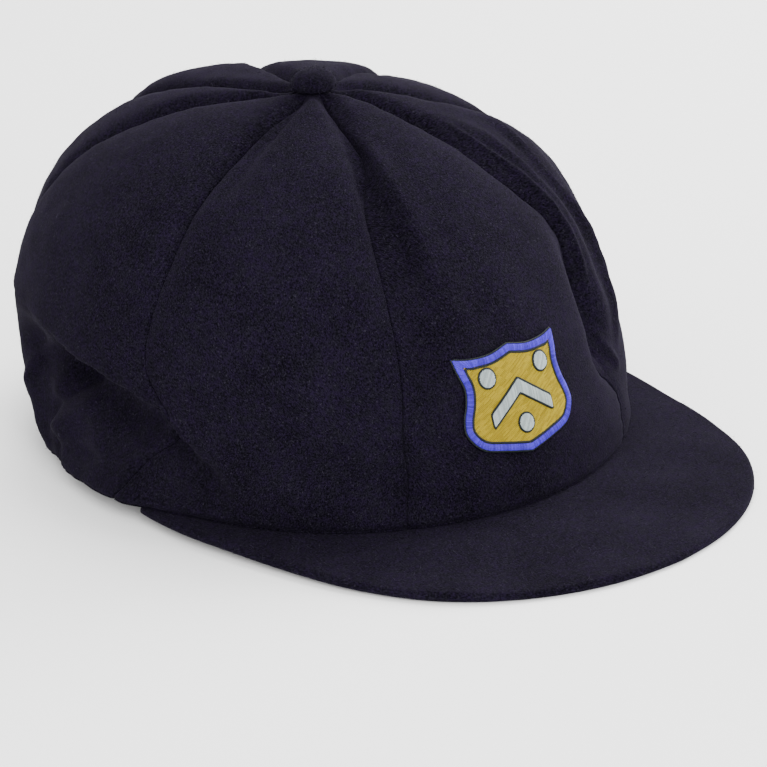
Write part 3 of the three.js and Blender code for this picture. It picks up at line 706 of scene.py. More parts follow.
def make_button():
    radius = BUTTON_DIAMETER / 2
    rise = np.linspace(0, np.pi / 2, BUTTON_ROWS)
    out = radius * np.cos(rise) ** BUTTON_ROUNDNESS
    up = BUTTON_FOOT + (BUTTON_HEIGHT - BUTTON_FOOT) * np.sin(rise)
    out = np.concatenate([[radius * share for share in BUTTON_FOOT_SHARES], out[:-1]])
    up = np.concatenate([[0, BUTTON_FOOT * 0.45], up[:-1]])
    turn = np.arange(BUTTON_COLUMNS) / BUTTON_COLUMNS * 2 * np.pi
    pleat = np.sin(BUTTON_PLEATS * turn) + 0.5 * np.sin(7 * turn + 1)
    low = np.clip(1 - up / (BUTTON_HEIGHT * PLEATS_END_AT), 0, 1)
    uneven = PLEAT_DEPTH * pleat[None, :] * low[:, None]
    out = out[:, None] * (1 + uneven + BUTTON_OVAL * np.sin(2 * turn + 0.7))
    eye = form_point(0.0, float(TOP_LEVEL))
    centre = np.array([0, RIM_HALF_LENGTH * SECTIONS["middle"][-1], eye[2] + SEAM_GAP])
    points = np.stack([out * np.cos(turn), out * np.sin(turn), up[:, None] + 0 * out], -1)
    points[2:, :, 2] += BUTTON_DENT * waves(points[2:] * 3, LONG_WAVES) * (1 - low[2:, None])
    rings = len(points)
    path = path_lengths(points[::-1])[::-1] + np.hypot(*points[-1, :, :2].T)
    uvs = np.stack([path * np.cos(turn), path * np.sin(turn)], -1).reshape(-1, 2)
    uvs = np.concatenate([uvs, np.zeros((2, 2))]) * MM
    every = np.concatenate([points.reshape(-1, 3), [[0, 0, 0], [0, 0, BUTTON_HEIGHT]]]) + centre
    count = rings * BUTTON_COLUMNS
    ring = np.arange(BUTTON_COLUMNS)
    ends = [*fan(count, ring, True), *fan(count + 1, count - BUTTON_COLUMNS + ring)]
    faces = [*grid_faces(rings, BUTTON_COLUMNS, wrap_columns=True), *ends]
    piece = mesh_piece("cloth_button", to_metres(every), faces, uvs)
    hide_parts("button")
    return piece


button = make_button()
print("button:", len(button.data.polygons), "faces")

# %% [markdown]
# The patch is embroidered on its own cloth and then sewn to the front panel, so it follows the
# panel's curve. A flat drawing in millimetres, across and up, is laid on the cloth by finding the
# level at each height and the angle at each distance. Curves join the drawn points smoothly, and
# stay sharp at the shield's corners.

# %% Draw the patch and lay it on the cloth
BADGE_WIDTH = 40
BADGE_HEIGHT = 31
BADGE_LOW_EDGE = 21
BADGE_ANGLE = -0.7
BADGE_CLEARANCE = 0.5
BADGE_BORDER_WIDTH = 2.4
BADGE_GROUND_THICKNESS = 0.9
DEVICE_THICKNESS = 0.6
CHEVRON_HALF_SPAN = 11
CHEVRON_RISE = 8
CHEVRON_BAND = 4.4
CHEVRON_MIDDLE = 0.62
CHEVRON_COLUMNS = 45
DISC_DIAMETER = 5.4
DISC_DOME = 0.25
DISC_RINGS = 5
DISCS = {
    "badge_disc_right": (-0.5, 0.755),
    "badge_disc_left": (0.5, 0.755),
    "badge_disc_base": (0, 0.265),
}
SHIELD = [
    (0, 1), (0.36, 0.95), (0.7, 0.955), (0.93, 0.985), (0.9, 0.84), (0.86, 0.7),
    (0.9, 0.56), (0.98, 0.42), (0.99, 0.28), (0.8, 0.13), (0.42, 0.06), (0, 0),
]
SHIELD_CORNERS = [0, 3, 11]
DRAWING_STEP = 0.3
CORNER_TURN = 2.6


def level_at_height(angle, height):
    low, high = np.zeros(np.shape(height)), np.full(np.shape(height), float(TOP_LEVEL))
    for _ in range(24):
        middle = (low + high) / 2
        under = form_point(angle, middle)[..., 2] < height
        low, high = np.where(under, middle, low), np.where(under, high, middle)
    return (low + high) / 2


def lay(across, up, off):
    """Points of the flat drawing on the front panel, off above the cloth, and the way out there."""
    across, up, off = (np.asarray(part, float) for part in np.broadcast_arrays(across, up, off))
    angle = np.full(across.shape, float(BADGE_ANGLE))
    for _ in range(3):
        level = level_at_height(angle, BADGE_LOW_EDGE + up)
        angle = BADGE_ANGLE + np.degrees(across / (RIM_HALF_WIDTH * section_at("half_width", level)))
    share = (angle - seam_angle(0, level)) / (seam_angle(1, level) - seam_angle(0, level))
    outside, _, outward = skin_points(angle, level, share, 0, fine=False)
    return to_metres(outside + outward * (BADGE_CLEARANCE + off)[..., None]), outward


def points_at(marks, lengths, line):
    return np.stack([np.interp(marks, lengths, line[:, k]) for k in range(2)], -1)


def even_steps(line, step, fewest=3):
    """A drawn line cut into even steps, with its last point left out."""
    lengths = path_lengths(line)
    count = max(fewest, round(lengths[-1] / step))
    return points_at(np.linspace(0, lengths[-1], count + 1)[:-1], lengths, line)


def sampled(points, step):
    """A smooth curve through the points, cut into even steps."""
    place = np.linspace(0, len(points) - 1, 40 * len(points))
    fine = np.stack([along_rows(points[:, k], place) for k in range(2)], -1)
    return even_steps(fine, step)


def shield_outline():
    """The shield's edge, counter-clockwise seen from the front, and which samples are corners."""
    half = np.array(SHIELD) * [BADGE_WIDTH / 2, BADGE_HEIGHT]
    runs = [half[a:b + 1] for a, b in zip(SHIELD_CORNERS, SHIELD_CORNERS[1:])]
    mirrored = [run * [-1, 1] for run in runs]
    order = [*mirrored, *[run[::-1] for run in runs[::-1]]]
    samples = [sampled(run, DRAWING_STEP) for run in order]
    starts = np.cumsum([0, *[len(part) for part in samples]])[:-1]
    return np.concatenate(samples), starts


def left_of(run):
    return np.stack([-run[..., 1], run[..., 0]], -1)


def inward_vectors(outline, starts):
    """How each sample moves for one millimetre of inset, turning gradually at the corners."""
    count, steps = len(outline), np.arange(len(outline))
    after = unit(np.roll(outline, -1, 0) - outline)
    before = np.roll(after, 1, 0)
    tangent = unit(after + before)
    tangent[starts] = after[starts]
    inward = left_of(tangent)
    for start in starts:
        mitre = unit(left_of(before[start]) + left_of(after[start]))
        mitre = mitre / max(0.5, float(mitre @ left_of(after[start])))
        away = np.abs((steps - start + count // 2) % count - count // 2)
        slide = max(1.0, float(np.linalg.norm(mitre)) ** 2)
        share = 1 - smooth(away * DRAWING_STEP / (CORNER_TURN * slide))
        inward = mix(inward, mitre, share[:, None])
    return inward


OUTLINE, OUTLINE_STARTS = shield_outline()
INWARD = inward_vectors(OUTLINE, OUTLINE_STARTS)


def inset(depth):
    return OUTLINE + INWARD * depth


print("patch outline:", len(OUTLINE), "samples,", round(len(OUTLINE) * DRAWING_STEP), "mm round")

# %% [markdown]
# Under the threads lie padded bodies, which give the embroidery its height. The border is a ring
# with a rounded back. The ground is a plate, made as rings from its edge to its middle. The
# chevron and the discs are small raised pads. Each takes the place of its own plain solid.

# %% Make the padded bodies of the patch
PAD_SINK = 0.12
# Columns: distance in from the shield's edge, height above the panel
BORDER_PROFILE = [
    (0, 0), (0.05, 0.55), (0.35, 0.95), (0.9, 1.15), (1.5, 1.15), (2.05, 0.95), (2.35, 0.55), (2.4, 0),
]


def laid(line, off):
    return lay(*line.T, off)[0]


def border_body(name):
    points = np.array([laid(inset(depth), off) for depth, off in BORDER_PROFILE])
    faces = grid_faces(len(points), len(OUTLINE), wrap_rows=True, wrap_columns=True)
    return mesh_piece(name, points.reshape(-1, 3), faces)


def plate_body(name, outline, thickness, base, dome=0.0, rings=10):
    """A thin plate over a drawn outline, closed by a middle point above and below."""
    middle = outline.mean(0)
    shares = np.linspace(1, 1 / rings, rings)
    rows = [(share, base) for share in shares[::-1]]
    rows += [(share, base + thickness + dome * (1 - share**2)) for share in shares]
    points = [laid(middle + (outline - middle) * share, off) for share, off in rows]
    ends = [laid(middle, base), laid(middle, base + thickness + dome)]
    columns = len(outline)
    count, ring = len(rows) * columns, np.arange(columns)
    faces = [*grid_faces(len(rows), columns, wrap_columns=True)]
    faces += [*fan(count, ring, True), *fan(count + 1, count - columns + ring)]
    return mesh_piece(name, np.concatenate([*points, ends]), faces)


def chevron_lines(across, half_band):
    """The chevron's lower and upper edge, at half a band's width from its middle line."""
    middle = BADGE_HEIGHT * CHEVRON_MIDDLE - CHEVRON_RISE * np.abs(across) / CHEVRON_HALF_SPAN
    return [np.stack([across, middle + aside], -1) for aside in (-half_band, half_band)]


CHEVRON_LOW, CHEVRON_HIGH = chevron_lines(
    np.linspace(-CHEVRON_HALF_SPAN, CHEVRON_HALF_SPAN, CHEVRON_COLUMNS), CHEVRON_BAND / 2
)


def disc_outline(place, diameter=DISC_DIAMETER, count=40):
    turn = np.arange(count) / count * 2 * np.pi
    centre = np.array([place[0] * BADGE_WIDTH / 2, place[1] * BADGE_HEIGHT])
    return centre + diameter / 2 * np.stack([np.cos(turn), np.sin(turn)], -1)


def chevron_body(name, base, thickness):
    top = base + thickness
    rows = [(CHEVRON_LOW, base), (CHEVRON_HIGH, base), (CHEVRON_HIGH, top), (CHEVRON_LOW, top)]
    starts = np.arange(len(rows)) * CHEVRON_COLUMNS
    faces = [*grid_faces(len(rows), CHEVRON_COLUMNS, wrap_rows=True)[:, ::-1]]
    faces += [starts, starts[::-1] + CHEVRON_COLUMNS - 1]
    return mesh_piece(name, np.concatenate([laid(line, off) for line, off in rows]), faces)


DEVICE_BASE = BADGE_GROUND_THICKNESS
ground_edge = inset(BADGE_BORDER_WIDTH - PAD_SINK)
pads = {
    "badge_border": border_body("badge_border_pad"),
    "badge_ground": plate_body("badge_ground_pad", ground_edge, BADGE_GROUND_THICKNESS - PAD_SINK, 0),
    "badge_chevron": chevron_body("badge_chevron_pad", DEVICE_BASE, DEVICE_THICKNESS * 0.6),
}
for name, place in DISCS.items():
    edge, thickness = disc_outline(place), DEVICE_THICKNESS * 0.5
    pads[name] = plate_body(name + "_pad", edge, thickness, DEVICE_BASE, DISC_DOME, DISC_RINGS)
for name, pad in pads.items():
    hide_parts(name)
print("patch bodies:", len(pads))

# %% [markdown]
# A machine embroiders in single stitches: satin stitches lie side by side across a narrow shape,
# and fill stitches lie end to end in shifted rows on a wide one. Each stitch here is one short
# bent tube. Geometry Nodes place it on a cloud of points, which carry the stitch's direction, the
# cloth's outward direction and the stitch's length, so one kind of tree makes all the embroidery.

# %% Build the tree that lays stitches
STITCH_PARTS = 5
STITCH_SIDES = 5
STITCH_SEED = 3


def enabled(sockets, name):
    found = [socket for socket in sockets if socket.name == name and socket.enabled]
    return (found or [socket for socket in sockets if socket.name == name])[0]


class Tree:
    """A Geometry Nodes tree with named sizes, built one node at a time."""

    def __init__(self, name, sizes):
        self.group = bpy.data.node_groups.new(name, "GeometryNodeTree")
        face = self.group.interface
        face.new_socket("Geometry", in_out="INPUT", socket_type="NodeSocketGeometry")
        for label, (kind, value) in sizes.items():
            face.new_socket(label, in_out="INPUT", socket_type=kind).default_value = value
        face.new_socket("Geometry", in_out="OUTPUT", socket_type="NodeSocketGeometry")
        self.source = self.group.nodes.new("NodeGroupInput")
        self.result = self.group.nodes.new("NodeGroupOutput")

    def size(self, name):
        return self.source.outputs[name]

    def add(self, kind, sockets=None, out=0, **settings):
        node = self.group.nodes.new(kind)
        for name, value in settings.items():
            setattr(node, name, value)
        for name, value in (sockets or {}).items():
            place = node.inputs[name] if isinstance(name, int) else enabled(node.inputs, name)
            if isinstance(value, bpy.types.NodeSocket):
                self.group.links.new(value, place)
            else:
                place.default_value = value
        return enabled(node.outputs, out) if isinstance(out, str) else node.outputs[out]

    def attribute(self, name, kind):
        return self.add("GeometryNodeInputNamedAttribute", {"Name": name}, "Attribute", data_type=kind)

    def random(self, low, high, seed):
        sockets = {"Min": low, "Max": high, "Seed": seed}
        kind = "FLOAT_VECTOR" if isinstance(low, tuple) else "FLOAT"
        return self.add("FunctionNodeRandomValue", sockets, "Value", data_type=kind)

    def math(self, operation, *values):
        return self.add("ShaderNodeMath", dict(enumerate(values)), operation=operation)

    def vector(self, x, y, z):
        return self.add("ShaderNodeCombineXYZ", {"X": x, "Y": y, "Z": z}, "Vector")

    def tube(self, bend, sides, radius):
        """A short bent tube from a start through a middle to an end."""
        sockets = dict(zip(("Resolution", "Start", "Middle", "End"), bend))
        line = self.add("GeometryNodeCurveQuadraticBezier", sockets)
        ring = self.add("GeometryNodeCurvePrimitiveCircle", {"Resolution": sides, "Radius": 1.0})
        scale = self.vector(radius, radius, radius)
        sized = self.add("GeometryNodeTransform", {"Geometry": ring, "Scale": scale})
        sockets = {"Curve": line, "Profile Curve": sized, "Fill Caps": True}
        return self.add("GeometryNodeCurveToMesh", sockets)

    def finish(self, instances, seed, material):
        """Gives each instance a tone of its own, makes all of them real and coats them."""
        toned = self.add(
            "GeometryNodeStoreNamedAttribute",
            {"Geometry": instances, "Name": "tone", "Value": self.random(0.0, 1.0, seed)},
            data_type="FLOAT",
            domain="INSTANCE",
        )
        real = self.add("GeometryNodeRealizeInstances", {"Geometry": toned})
        coated = self.add("GeometryNodeSetMaterial", {"Geometry": real, "Material": material})
        shaded = self.add("GeometryNodeSetShadeSmooth", {0: coated})
        self.group.links.new(shaded, self.result.inputs[0])
        return self.group


def grown(name, carrier, group, sizes):
    """Runs a tree on a carrier object and returns its result as a plain mesh object."""
    modifier = carrier.modifiers.new(name, "NODES")
    modifier.node_group = group
    for item in group.interface.items_tree:
        if item.in_out == "INPUT" and item.name in sizes:
            modifier[item.identifier] = sizes[item.name]
    seen = carrier.evaluated_get(bpy.context.evaluated_depsgraph_get())
    mesh = bpy.data.meshes.new_from_object(seen)
    mesh.name = name
    piece = placed(name, mesh)
    bpy.data.objects.remove(carrier)
    return piece


def stitch_tree(name, material):
    tree = Tree(name, {
        "Thread radius": ("NodeSocketFloat", 0.2 * MM),
        "Arch": ("NodeSocketFloat", 0.2 * MM),
    })
    arch = tree.vector(0.0, 0.0, tree.size("Arch"))
    bend = (STITCH_PARTS, (-0.5, 0, 0), arch, (0.5, 0, 0))
    stitch = tree.tube(bend, STITCH_SIDES, tree.size("Thread radius"))
    turned = tree.add("FunctionNodeAxesToRotation", {
        "Primary Axis": tree.attribute("outward", "FLOAT_VECTOR"),
        "Secondary Axis": tree.attribute("along", "FLOAT_VECTOR"),
    }, primary_axis="Z", secondary_axis="X")
    stitched = tree.add("GeometryNodeInstanceOnPoints", {
        "Points": tree.size("Geometry"),
        "Instance": stitch,
        "Rotation": turned,
        "Scale": tree.vector(tree.attribute("length", "FLOAT"), 1.0, 1.0),
    })
    return tree.finish(stitched, STITCH_SEED, material)


def stitches(name, starts, ends, off, material, radius, arch):
    """Lays one stitch from each start to each end of the flat drawing."""
    first, last = laid(starts, off), laid(ends, off)
    outward = lay(*((starts + ends) / 2).T, off)[1]
    run = last - first
    carrier = mesh_piece(name + "_points", (first + last) / 2, [])
    for label, kind, key, values in (
        ("along", "FLOAT_VECTOR", "vector", unit(run)),
        ("outward", "FLOAT_VECTOR", "vector", outward),
        ("length", "FLOAT", "value", np.linalg.norm(run, axis=-1)),
    ):
        attribute = carrier.data.attributes.new(label, kind, "POINT")
        attribute.data.foreach_set(key, values.astype(np.float32).ravel())
    sizes = {"Thread radius": radius * MM, "Arch": arch * MM}
    return grown(name, carrier, stitch_tree(name + "_tree", material), sizes)


# %% [markdown]
# A shader is a small sum of patterns, and sums read best as sums. The class below wraps a socket
# of a material, so a mask can be added, multiplied or taken from one with Python's own signs.
# A number may stand on either side of a sign. Noise, ramps and mixes of colours come up often and
# have short methods of their own, and every other node comes from the method for nodes.

# %% Wrap shader sockets for plain arithmetic


def sign(operation, reflected=False):
    """The method behind one of Python's signs, which adds a maths node."""
    if reflected:
        return lambda wire, other: wire.math(operation, other, wire)
    return lambda wire, other: wire.math(operation, wire, other)


class Wire:
    """One output socket of a material, with arithmetic."""

    def __init__(self, tree, socket=None):
        self.tree, self.socket = tree, socket

    def node(self, kind, sockets=None, out=0, stops=None, **settings):
        node = self.tree.nodes.new(kind)
        for name, value in settings.items():
            setattr(node, name, value)
        if stops:
            while len(node.color_ramp.elements) < len(stops):
                node.color_ramp.elements.new(0.5)
            for element, (place, shade) in zip(node.color_ramp.elements, stops):
                element.position, element.color = place, (shade, shade, shade, 1)
        for name, value in (sockets or {}).items():
            place = node.inputs[name]
            if isinstance(value, Wire):
                self.tree.links.new(value.socket, place)
            else:
                place.default_value = value
        return Wire(self.tree, node.outputs[out])

    def math(self, operation, *values):
        return self.node("ShaderNodeMath", dict(enumerate(values)), operation=operation)

    __add__, __radd__ = sign("ADD"), sign("ADD", True)
    __sub__, __rsub__ = sign("SUBTRACT"), sign("SUBTRACT", True)
    __mul__, __rmul__ = sign("MULTIPLY"), sign("MULTIPLY", True)
    __pow__, __rpow__ = sign("POWER"), sign("POWER", True)

    def ramp(self, *stops):
        return self.node("ShaderNodeValToRGB", {"Fac": self}, stops=stops)

    def tint(self, *ends):
        """A mix of two colours, each either a wire or three numbers."""
        dark, light = (end if isinstance(end, Wire) else (*end, 1) for end in ends)
        return self.node("ShaderNodeMix", {0: self, 6: dark, 7: light}, 2, data_type="RGBA")

    def noise(self, size_mm, detail=2.0, rough=0.5):
        """Noise whose patches are so many millimetres wide, read at the place of this wire."""
        sockets = {"Vector": self, "Scale": 1 / (size_mm * MM), "Detail": detail, "Roughness": rough}
        return self.node("ShaderNodeTexNoise", sockets)


def new_material(name):
    material = bpy.data.materials.new(name)
    material.use_nodes = True
    shader = material.node_tree.nodes["Principled BSDF"]
    return material, Wire(material.node_tree), shader


def plug(shader, wires, numbers):
    for name, wire in wires.items():
        shader.id_data.links.new(wire.socket, shader.inputs[name])
    for name, value in numbers.items():
        shader.inputs[name].default_value = value


# %% [markdown]
# Melton is woven, then shrunk and brushed until the nap hides the weave. So its colour is a dark
# blue-black made of short strokes of brushed fibre, which drift between violet and grey, with a few
# paler flecks and a soft sheen where fibres catch the light. The strokes read the cloth's own map,
# so they run with each panel, and the wider patterns read the object's coordinates in metres.

# %% Mix the wool
WOOL_DARK = (0.0010, 0.0008, 0.0016)
WOOL_PURPLE = (0.0080, 0.0052, 0.0142)
WOOL_GREY = (0.0074, 0.0062, 0.0112)
FLECK = (0.018, 0.0155, 0.024)
SHEEN_TINT = (0.74, 0.62, 1.0, 1)
NAP_DARK = (0.003, 0.0024, 0.0055)
NAP_LIGHT = (0.046, 0.041, 0.062)
NAP_DARKNESS = 5
STROKE_WIDTH = 0.38
STROKE_LENGTH = 0.62
STROKE_LEAN = 0.22
FUZZ_SIZE = 0.34
MOTTLE_SIZE = 14
DRIFT_SIZE = 55
HUE_SIZE = 2.4
FLECK_SIZE = 0.6


def make_wool():
    material, start, shader = new_material("wool_melton")
    place = start.node("ShaderNodeTexCoord", out="Object")
    cloth = start.node("ShaderNodeUVMap", uv_map="cloth")
    along, up = (start.node("ShaderNodeSeparateXYZ", {"Vector": cloth}, out) for out in "XY")
    fuzz = place.noise(FUZZ_SIZE, 1.0, 0.6)
    mottle = place.noise(MOTTLE_SIZE, 3.0, 0.55)
    drift = place.noise(DRIFT_SIZE)
    lean = along * 0.96 + up * STROKE_LEAN
    strokes = start.node("ShaderNodeCombineXYZ", {
        "X": lean * (1 / (STROKE_WIDTH * MM)),
        "Y": up * (1 / (STROKE_LENGTH * MM)),
        "Z": fuzz * 0.6,
    })
    grain = strokes.noise(1 / MM, 1.0, 0.6)
    tone = grain * 1.1 + fuzz * 0.35 + mottle * 0.25 + drift * 0.2 - 0.5
    hue = place.noise(HUE_SIZE).ramp((0.38, 0), (0.62, 1))
    colour = tone.ramp((0.23, 0), (0.67, 1)).tint(WOOL_DARK, hue.tint(WOOL_PURPLE, WOOL_GREY))
    specks = place.noise(FLECK_SIZE, 1.0, 0.4).ramp((0.65, 0), (0.76, 0.65))
    height = grain * 0.8 + fuzz * 0.4
    bump = start.node("ShaderNodeBump", {"Height": height, "Strength": 0.8, "Distance": 0.25 * MM})
    rough = grain * 0.12 + 0.86
    plug(shader, {"Base Color": specks.tint(colour, FLECK), "Roughness": rough, "Normal": bump}, {
        "Specular IOR Level": 0.02,
        "Sheen Weight": 0.016,
        "Sheen Roughness": 0.5,
        "Sheen Tint": SHEEN_TINT,
    })
    return material


def make_nap():
    material, start, shader = new_material("wool_nap")
    tone = start.node("ShaderNodeAttribute", out="Fac", attribute_name="tone")
    shade = (tone**NAP_DARKNESS).tint(NAP_DARK, NAP_LIGHT)
    plug(shader, {"Base Color": shade}, {"Roughness": 0.8, "Specular IOR Level": 0.05})
    return material


wool = make_wool()
nap = make_nap()
cloths = [*panels, peak, button]
for piece in cloths:
    piece.data.materials.append(wool)
    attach(piece, BODY)
print("wool on", len(cloths), "pieces")

# %% [markdown]
# Embroidery thread has a soft shine, so its roughness is lower than that of the wool, and its shade
# changes from one stitch to the next. The tone attribute on each stitch gives that change, and a
# fine noise along the thread breaks up its shine.

# %% Mix the threads
STRAND_SIZE = 0.35
# Columns: dark shade, light shade, roughness
THREADS = {
    "blue_thread": ((0.022, 0.010, 0.19), (0.062, 0.031, 0.50), 0.42),
    "gold_thread": ((0.18, 0.125, 0.006), (0.35, 0.265, 0.016), 0.5),
    "grey_thread": ((0.18, 0.21, 0.215), (0.34, 0.39, 0.385), 0.42),
    "dark_thread": ((0.004, 0.006, 0.007), (0.012, 0.016, 0.016), 0.5),
}


def make_thread(name, dark, light, roughness):
    material, start, shader = new_material(name)
    place = start.node("ShaderNodeTexCoord", out="Object")
    tone = start.node("ShaderNodeAttribute", out="Fac", attribute_name="tone")
    strand = place.noise(STRAND_SIZE)
    shade = (tone * 0.55 + strand * 0.6 - 0.1).ramp((0.1, 0), (0.9, 1)).tint(dark, light)
    bump = start.node("ShaderNodeBump", {"Height": strand, "Strength": 0.25, "Distance": 0.1 * MM})
    rough = strand * 0.2 + (roughness - 0.1)
    plug(
        shader,
        {"Base Color": shade, "Roughness": rough, "Normal": bump},
        {"Specular IOR Level": 0.1, "Coat Weight": 0.01},
    )
    return material


threads = {name: make_thread(name, *row) for name, row in THREADS.items()}
print("threads:", list(threads))

# %% [markdown]
# Now the stitches themselves. Satin runs across the border and across the small devices. The gold
# ground is filled in slanted rows, each shifted by part of a stitch as a machine does. Dark lines
# of short slanted stitches edge every shape.

# %% Embroider the patch
SATIN_PITCH = 0.36
FILL_PITCH = 0.42
FILL_STITCH = 2.6
FILL_SLANT = math.radians(28)
FILL_SHORTEST = 0.25
SATIN_INSET = 0.3
DEVICE_INSET = 0.2
DISC_SLANT = math.radians(55)
LINE_PITCH = 0.5
LINE_ASIDE = 0.1736


def crossings(outline, height):
    """Where a level line crosses a closed outline, in order."""
    start, end = outline, np.roll(outline, -1, 0)
    hit = (start[:, 1] > height) != (end[:, 1] > height)
    share = (height - start[hit, 1]) / (end[hit, 1] - start[hit, 1])
    return np.sort(start[hit, 0] + share * (end[hit, 0] - start[hit, 0]))


def fill_rows(outline, slant, pitch, stitch):
    """Starts and ends of fill stitches over an outline, in rows at a slant."""
    turn = np.array([[math.cos(slant), math.sin(slant)], [-math.sin(slant), math.cos(slant)]])
    turned = outline @ turn.T
    starts, ends = [], []
    heights = np.arange(turned[:, 1].min() + pitch / 2, turned[:, 1].max(), pitch)
    for index, height in enumerate(heights):
        cuts = crossings(turned, height)
        for left, right in zip(cuts[::2], cuts[1::2]):
            first = left - (index % 4) * stitch / 4
            marks = np.arange(first, right + stitch, stitch).clip(left, right)
            keep = np.diff(marks) > FILL_SHORTEST
            starts += [(x, height) for x in marks[:-1][keep]]
            ends += [(x, height) for x in marks[1:][keep]]
    return np.array(starts) @ turn, np.array(ends) @ turn


def line_stitches(outline):
    """Short stitches that follow a line, each laid a little across it."""
    steps = even_steps(np.concatenate([outline, outline[:1]]), LINE_PITCH, 4)
    ahead = np.roll(steps, -2, 0)
    run = unit(ahead - steps)
    side = left_of(run) * LINE_ASIDE
    return steps - side, ahead + side


def satin_border():
    lengths = np.arange(len(OUTLINE) + 1) * DRAWING_STEP
    marks = np.linspace(0, lengths[-1], round(lengths[-1] / SATIN_PITCH) + 1)[:-1]
    edges = [inset(SATIN_INSET), inset(BADGE_BORDER_WIDTH - SATIN_INSET)]
    return [points_at(marks, lengths, np.concatenate([edge, edge[:1]])) for edge in edges]


def chevron_satin():
    across = np.arange(-CHEVRON_HALF_SPAN + DEVICE_INSET, CHEVRON_HALF_SPAN, SATIN_PITCH)
    return chevron_lines(across, CHEVRON_BAND / 2 - DEVICE_INSET)


def disc_satin(place):
    outline = disc_outline(place, DISC_DIAMETER - 2 * DEVICE_INSET)
    return fill_rows(outline, DISC_SLANT, SATIN_PITCH, DISC_DIAMETER * 2)


ground_fill = fill_rows(inset(BADGE_BORDER_WIDTH - 0.2), FILL_SLANT, FILL_PITCH, FILL_STITCH)
inner_line = line_stitches(inset(BADGE_BORDER_WIDTH + 0.1))
chevron_line = line_stitches(np.concatenate([CHEVRON_LOW, CHEVRON_HIGH[::-1]]))
line_off = DEVICE_BASE + 0.3
# Columns: name, starts and ends, height above the panel, thread, thread radius, arch
WORK = [
    ("badge_border_satin", satin_border(), 1.05, "blue_thread", 0.2, 0.5),
    ("badge_ground_fill", ground_fill, 0.82, "gold_thread", 0.22, 0.16),
    ("badge_chevron_satin", chevron_satin(), DEVICE_BASE + 0.36, "grey_thread", 0.2, 0.45),
    ("badge_line_outer", line_stitches(inset(0.1)), 0.55, "dark_thread", 0.28, 0.2),
    ("badge_line_inner", inner_line, 0.95, "dark_thread", 0.28, 0.2),
    ("badge_line_chevron", chevron_line, line_off, "dark_thread", 0.28, 0.2),
]
for name, place in DISCS.items():
    line = line_stitches(disc_outline(place))
    WORK += [
        (name + "_satin", disc_satin(place), DEVICE_BASE + 0.5, "grey_thread", 0.2, 0.3),
        (name + "_line", line, line_off, "dark_thread", 0.28, 0.2),
    ]
stitched = [
    stitches(name, *ends, off, threads[thread], radius, arch)
    for name, ends, off, thread, radius, arch in WORK
]
main_threads = {"border": "blue_thread", "ground": "gold_thread"}
for piece in [*pads.values(), *stitched]:
    thread = main_threads.get(piece.name.split("_")[1], "grey_thread")
    if not piece.data.materials:
        piece.data.materials.append(threads[thread])
    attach(piece, BODY)
print("stitch faces:", sum(len(piece.data.polygons) for piece in stitched))

# %% [markdown]
# Brushed wool carries a nap of loose fibres. Most are as dark as the cloth and only soften its
# shading, and a few paler ones catch the light, above all along the outline. Points are scattered
# on the outside of the cloth with a fixed seed, and each gets a thin, bent, leaning fibre.

# %% Brush up the nap
FIBRE_RADIUS = 0.022
FIBRE_BEND = (2, (0, 0, -0.04), (0.05, 0, 0.55), (0.55, 0.15, 0.9))
FIBRE_SIDES = 3
FIBRE_LENGTHS = (0.5, 1.35)
LEAN_LEAST = (0.75, -0.3, 0.0)
LEAN_MOST = (1.5, 0.3, 6.283)
LENGTH_SEED = 5
LEAN_SEED = 9
NAP_SEED = 4
HEM_ROWS_LEFT_OUT = 2
TOP_ROWS_LEFT_OUT = 4


def nap_tree(name, material):
    tree = Tree(name, {
        "Density": ("NodeSocketFloat", 1000.0),
        "Fibre radius": ("NodeSocketFloat", FIBRE_RADIUS * MM),
        "Fibre length": ("NodeSocketFloat", MM),
        "Seed": ("NodeSocketInt", 7),
    })
    points = {"Mesh": tree.size("Geometry"), "Density": tree.size("Density"), "Seed": tree.size("Seed")}
    scattered = tree.add("GeometryNodeDistributePointsOnFaces", points, "Points")
    length = tree.size("Fibre length")
    thin = tree.math("DIVIDE", tree.size("Fibre radius"), length)
    size = tree.math("MULTIPLY", tree.random(*FIBRE_LENGTHS, LENGTH_SEED), length)
    stood = tree.add("GeometryNodeInstanceOnPoints", {
        "Points": scattered,
        "Instance": tree.tube(FIBRE_BEND, FIBRE_SIDES, thin),
        "Rotation": scattered.node.outputs["Rotation"],
        "Scale": tree.vector(size, size, size),
    })
    lean = tree.random(LEAN_LEAST, LEAN_MOST, LEAN_SEED)
    sockets = {"Instances": stood, "Rotation": lean, "Local Space": True}
    leaned = tree.add("GeometryNodeRotateInstances", sockets)
    return tree.finish(leaned, NAP_SEED, material)


def crown_skin():
    """The outside of all eight panels as one open surface, to scatter points on."""
    points, faces, first = [], [], 0
    for seam in range(len(PANELS)):
        outside = panel_grid(seam)[0][HEM_ROWS_LEFT_OUT:-TOP_ROWS_LEFT_OUT]
        rows, columns = outside.shape[:2]
        points.append(outside.reshape(-1, 3))
        faces.append(grid_faces(rows, columns, first))
        first += rows * columns
    return mesh_piece("crown_skin", to_metres(np.concatenate(points)), np.concatenate(faces))


def brush(name, carrier, count, length_mm, seed):
    area = sum(polygon.area for polygon in carrier.data.polygons)
    sizes = {"Density": count / area, "Fibre length": length_mm * MM, "Seed": seed}
    piece = grown(name, carrier, nap_tree(name + "_tree", nap), sizes)
    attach(piece, BODY)
    return piece


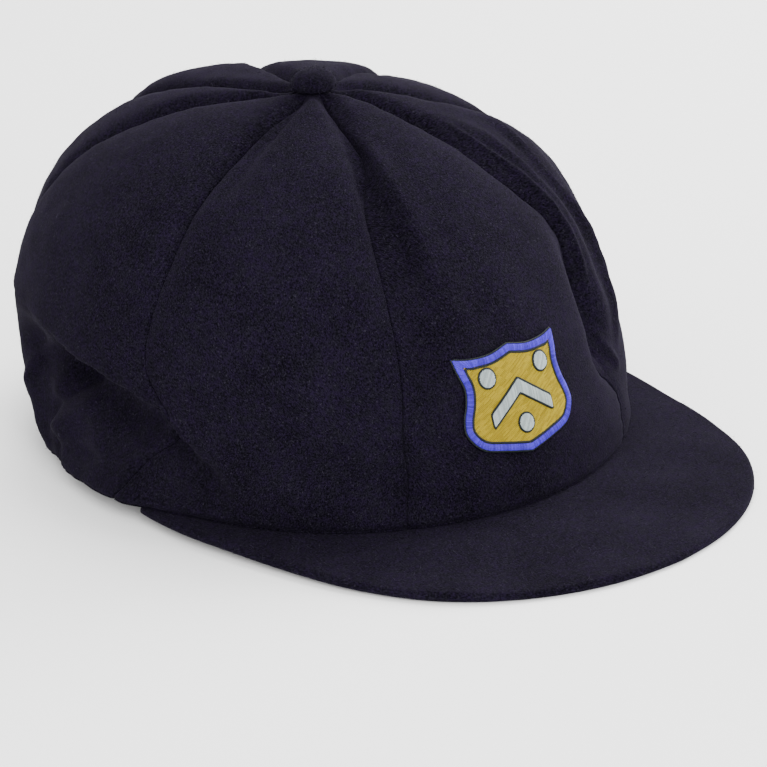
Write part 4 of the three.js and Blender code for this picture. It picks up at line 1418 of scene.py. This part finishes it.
def upper_skin(piece, name, lowest_slope):
    """The faces of a piece that look up or aside, so that no fibre reaches below the floor."""
    faces = [list(face.vertices) for face in piece.data.polygons if face.normal.z > lowest_slope]
    return mesh_piece(name, np.array([point.co[:] for point in piece.data.vertices]), faces)


# Columns: name, surface, number of fibres, length, seed
naps = [
    brush("nap_crown", crown_skin(), 9400, 1.0, 21),
    brush("nap_peak", upper_skin(peak, "peak_skin", 0.25), 2800, 1.2, 22),
    brush("nap_button", upper_skin(button, "button_skin", -0.3), 500, 0.9, 23),
]
print("nap faces:", [len(piece.data.polygons) for piece in naps])

# %% [markdown]
# The stage is a plain pale floor under soft light. One large light hangs overhead and a little
# behind the cap, one stands in front, and one at the right of the picture grazes the ridges beside
# the front panel. A white sky and the floor fill the shadows below.

# %% Set the floor and the lights
FLOOR_SIZE = 12
FLOOR_SHADE = 0.93
LIGHT_AIM = (0, 0, 0.05)
SKY_STRENGTH = 1.45


def make_floor():
    half = FLOOR_SIZE / 2
    corners = np.array([(-half, -half, 0), (half, -half, 0), (half, half, 0), (-half, half, 0)], float)
    floor = mesh_piece("floor", corners, [[0, 1, 2, 3]])
    material, _, shader = new_material("floor_pale")
    shade = (FLOOR_SHADE, FLOOR_SHADE, FLOOR_SHADE, 1)
    plug(shader, {}, {"Base Color": shade, "Roughness": 0.9, "Specular IOR Level": 0.1})
    floor.data.materials.append(material)
    return floor


def make_light(name, place, size, power):
    data = bpy.data.lights.new(name, "AREA")
    data.shape, data.size, data.energy = "DISK", size, power
    light = placed(name, data)
    turned = (Vector(LIGHT_AIM) - Vector(place)).to_track_quat("-Z", "Y")
    light.matrix_world = Matrix.Translation(place) @ turned.to_matrix().to_4x4()
    return light


make_floor()
lights = [
    make_light("overhead_light", (0.45, 0.4, 1.35), 1.0, 23),
    make_light("front_light", (-0.55, -1.15, 0.75), 1.0, 30),
    make_light("right_light", (1.25, 0, 0.7), 0.9, 29),
]
world = bpy.data.worlds.new("white_room")
world.use_nodes = True
sky = world.node_tree.nodes["Background"]
sky.inputs["Color"].default_value = (1, 1, 1, 1)
sky.inputs["Strength"].default_value = SKY_STRENGTH
bpy.context.scene.world = world
print("lights:", [light.name for light in lights])
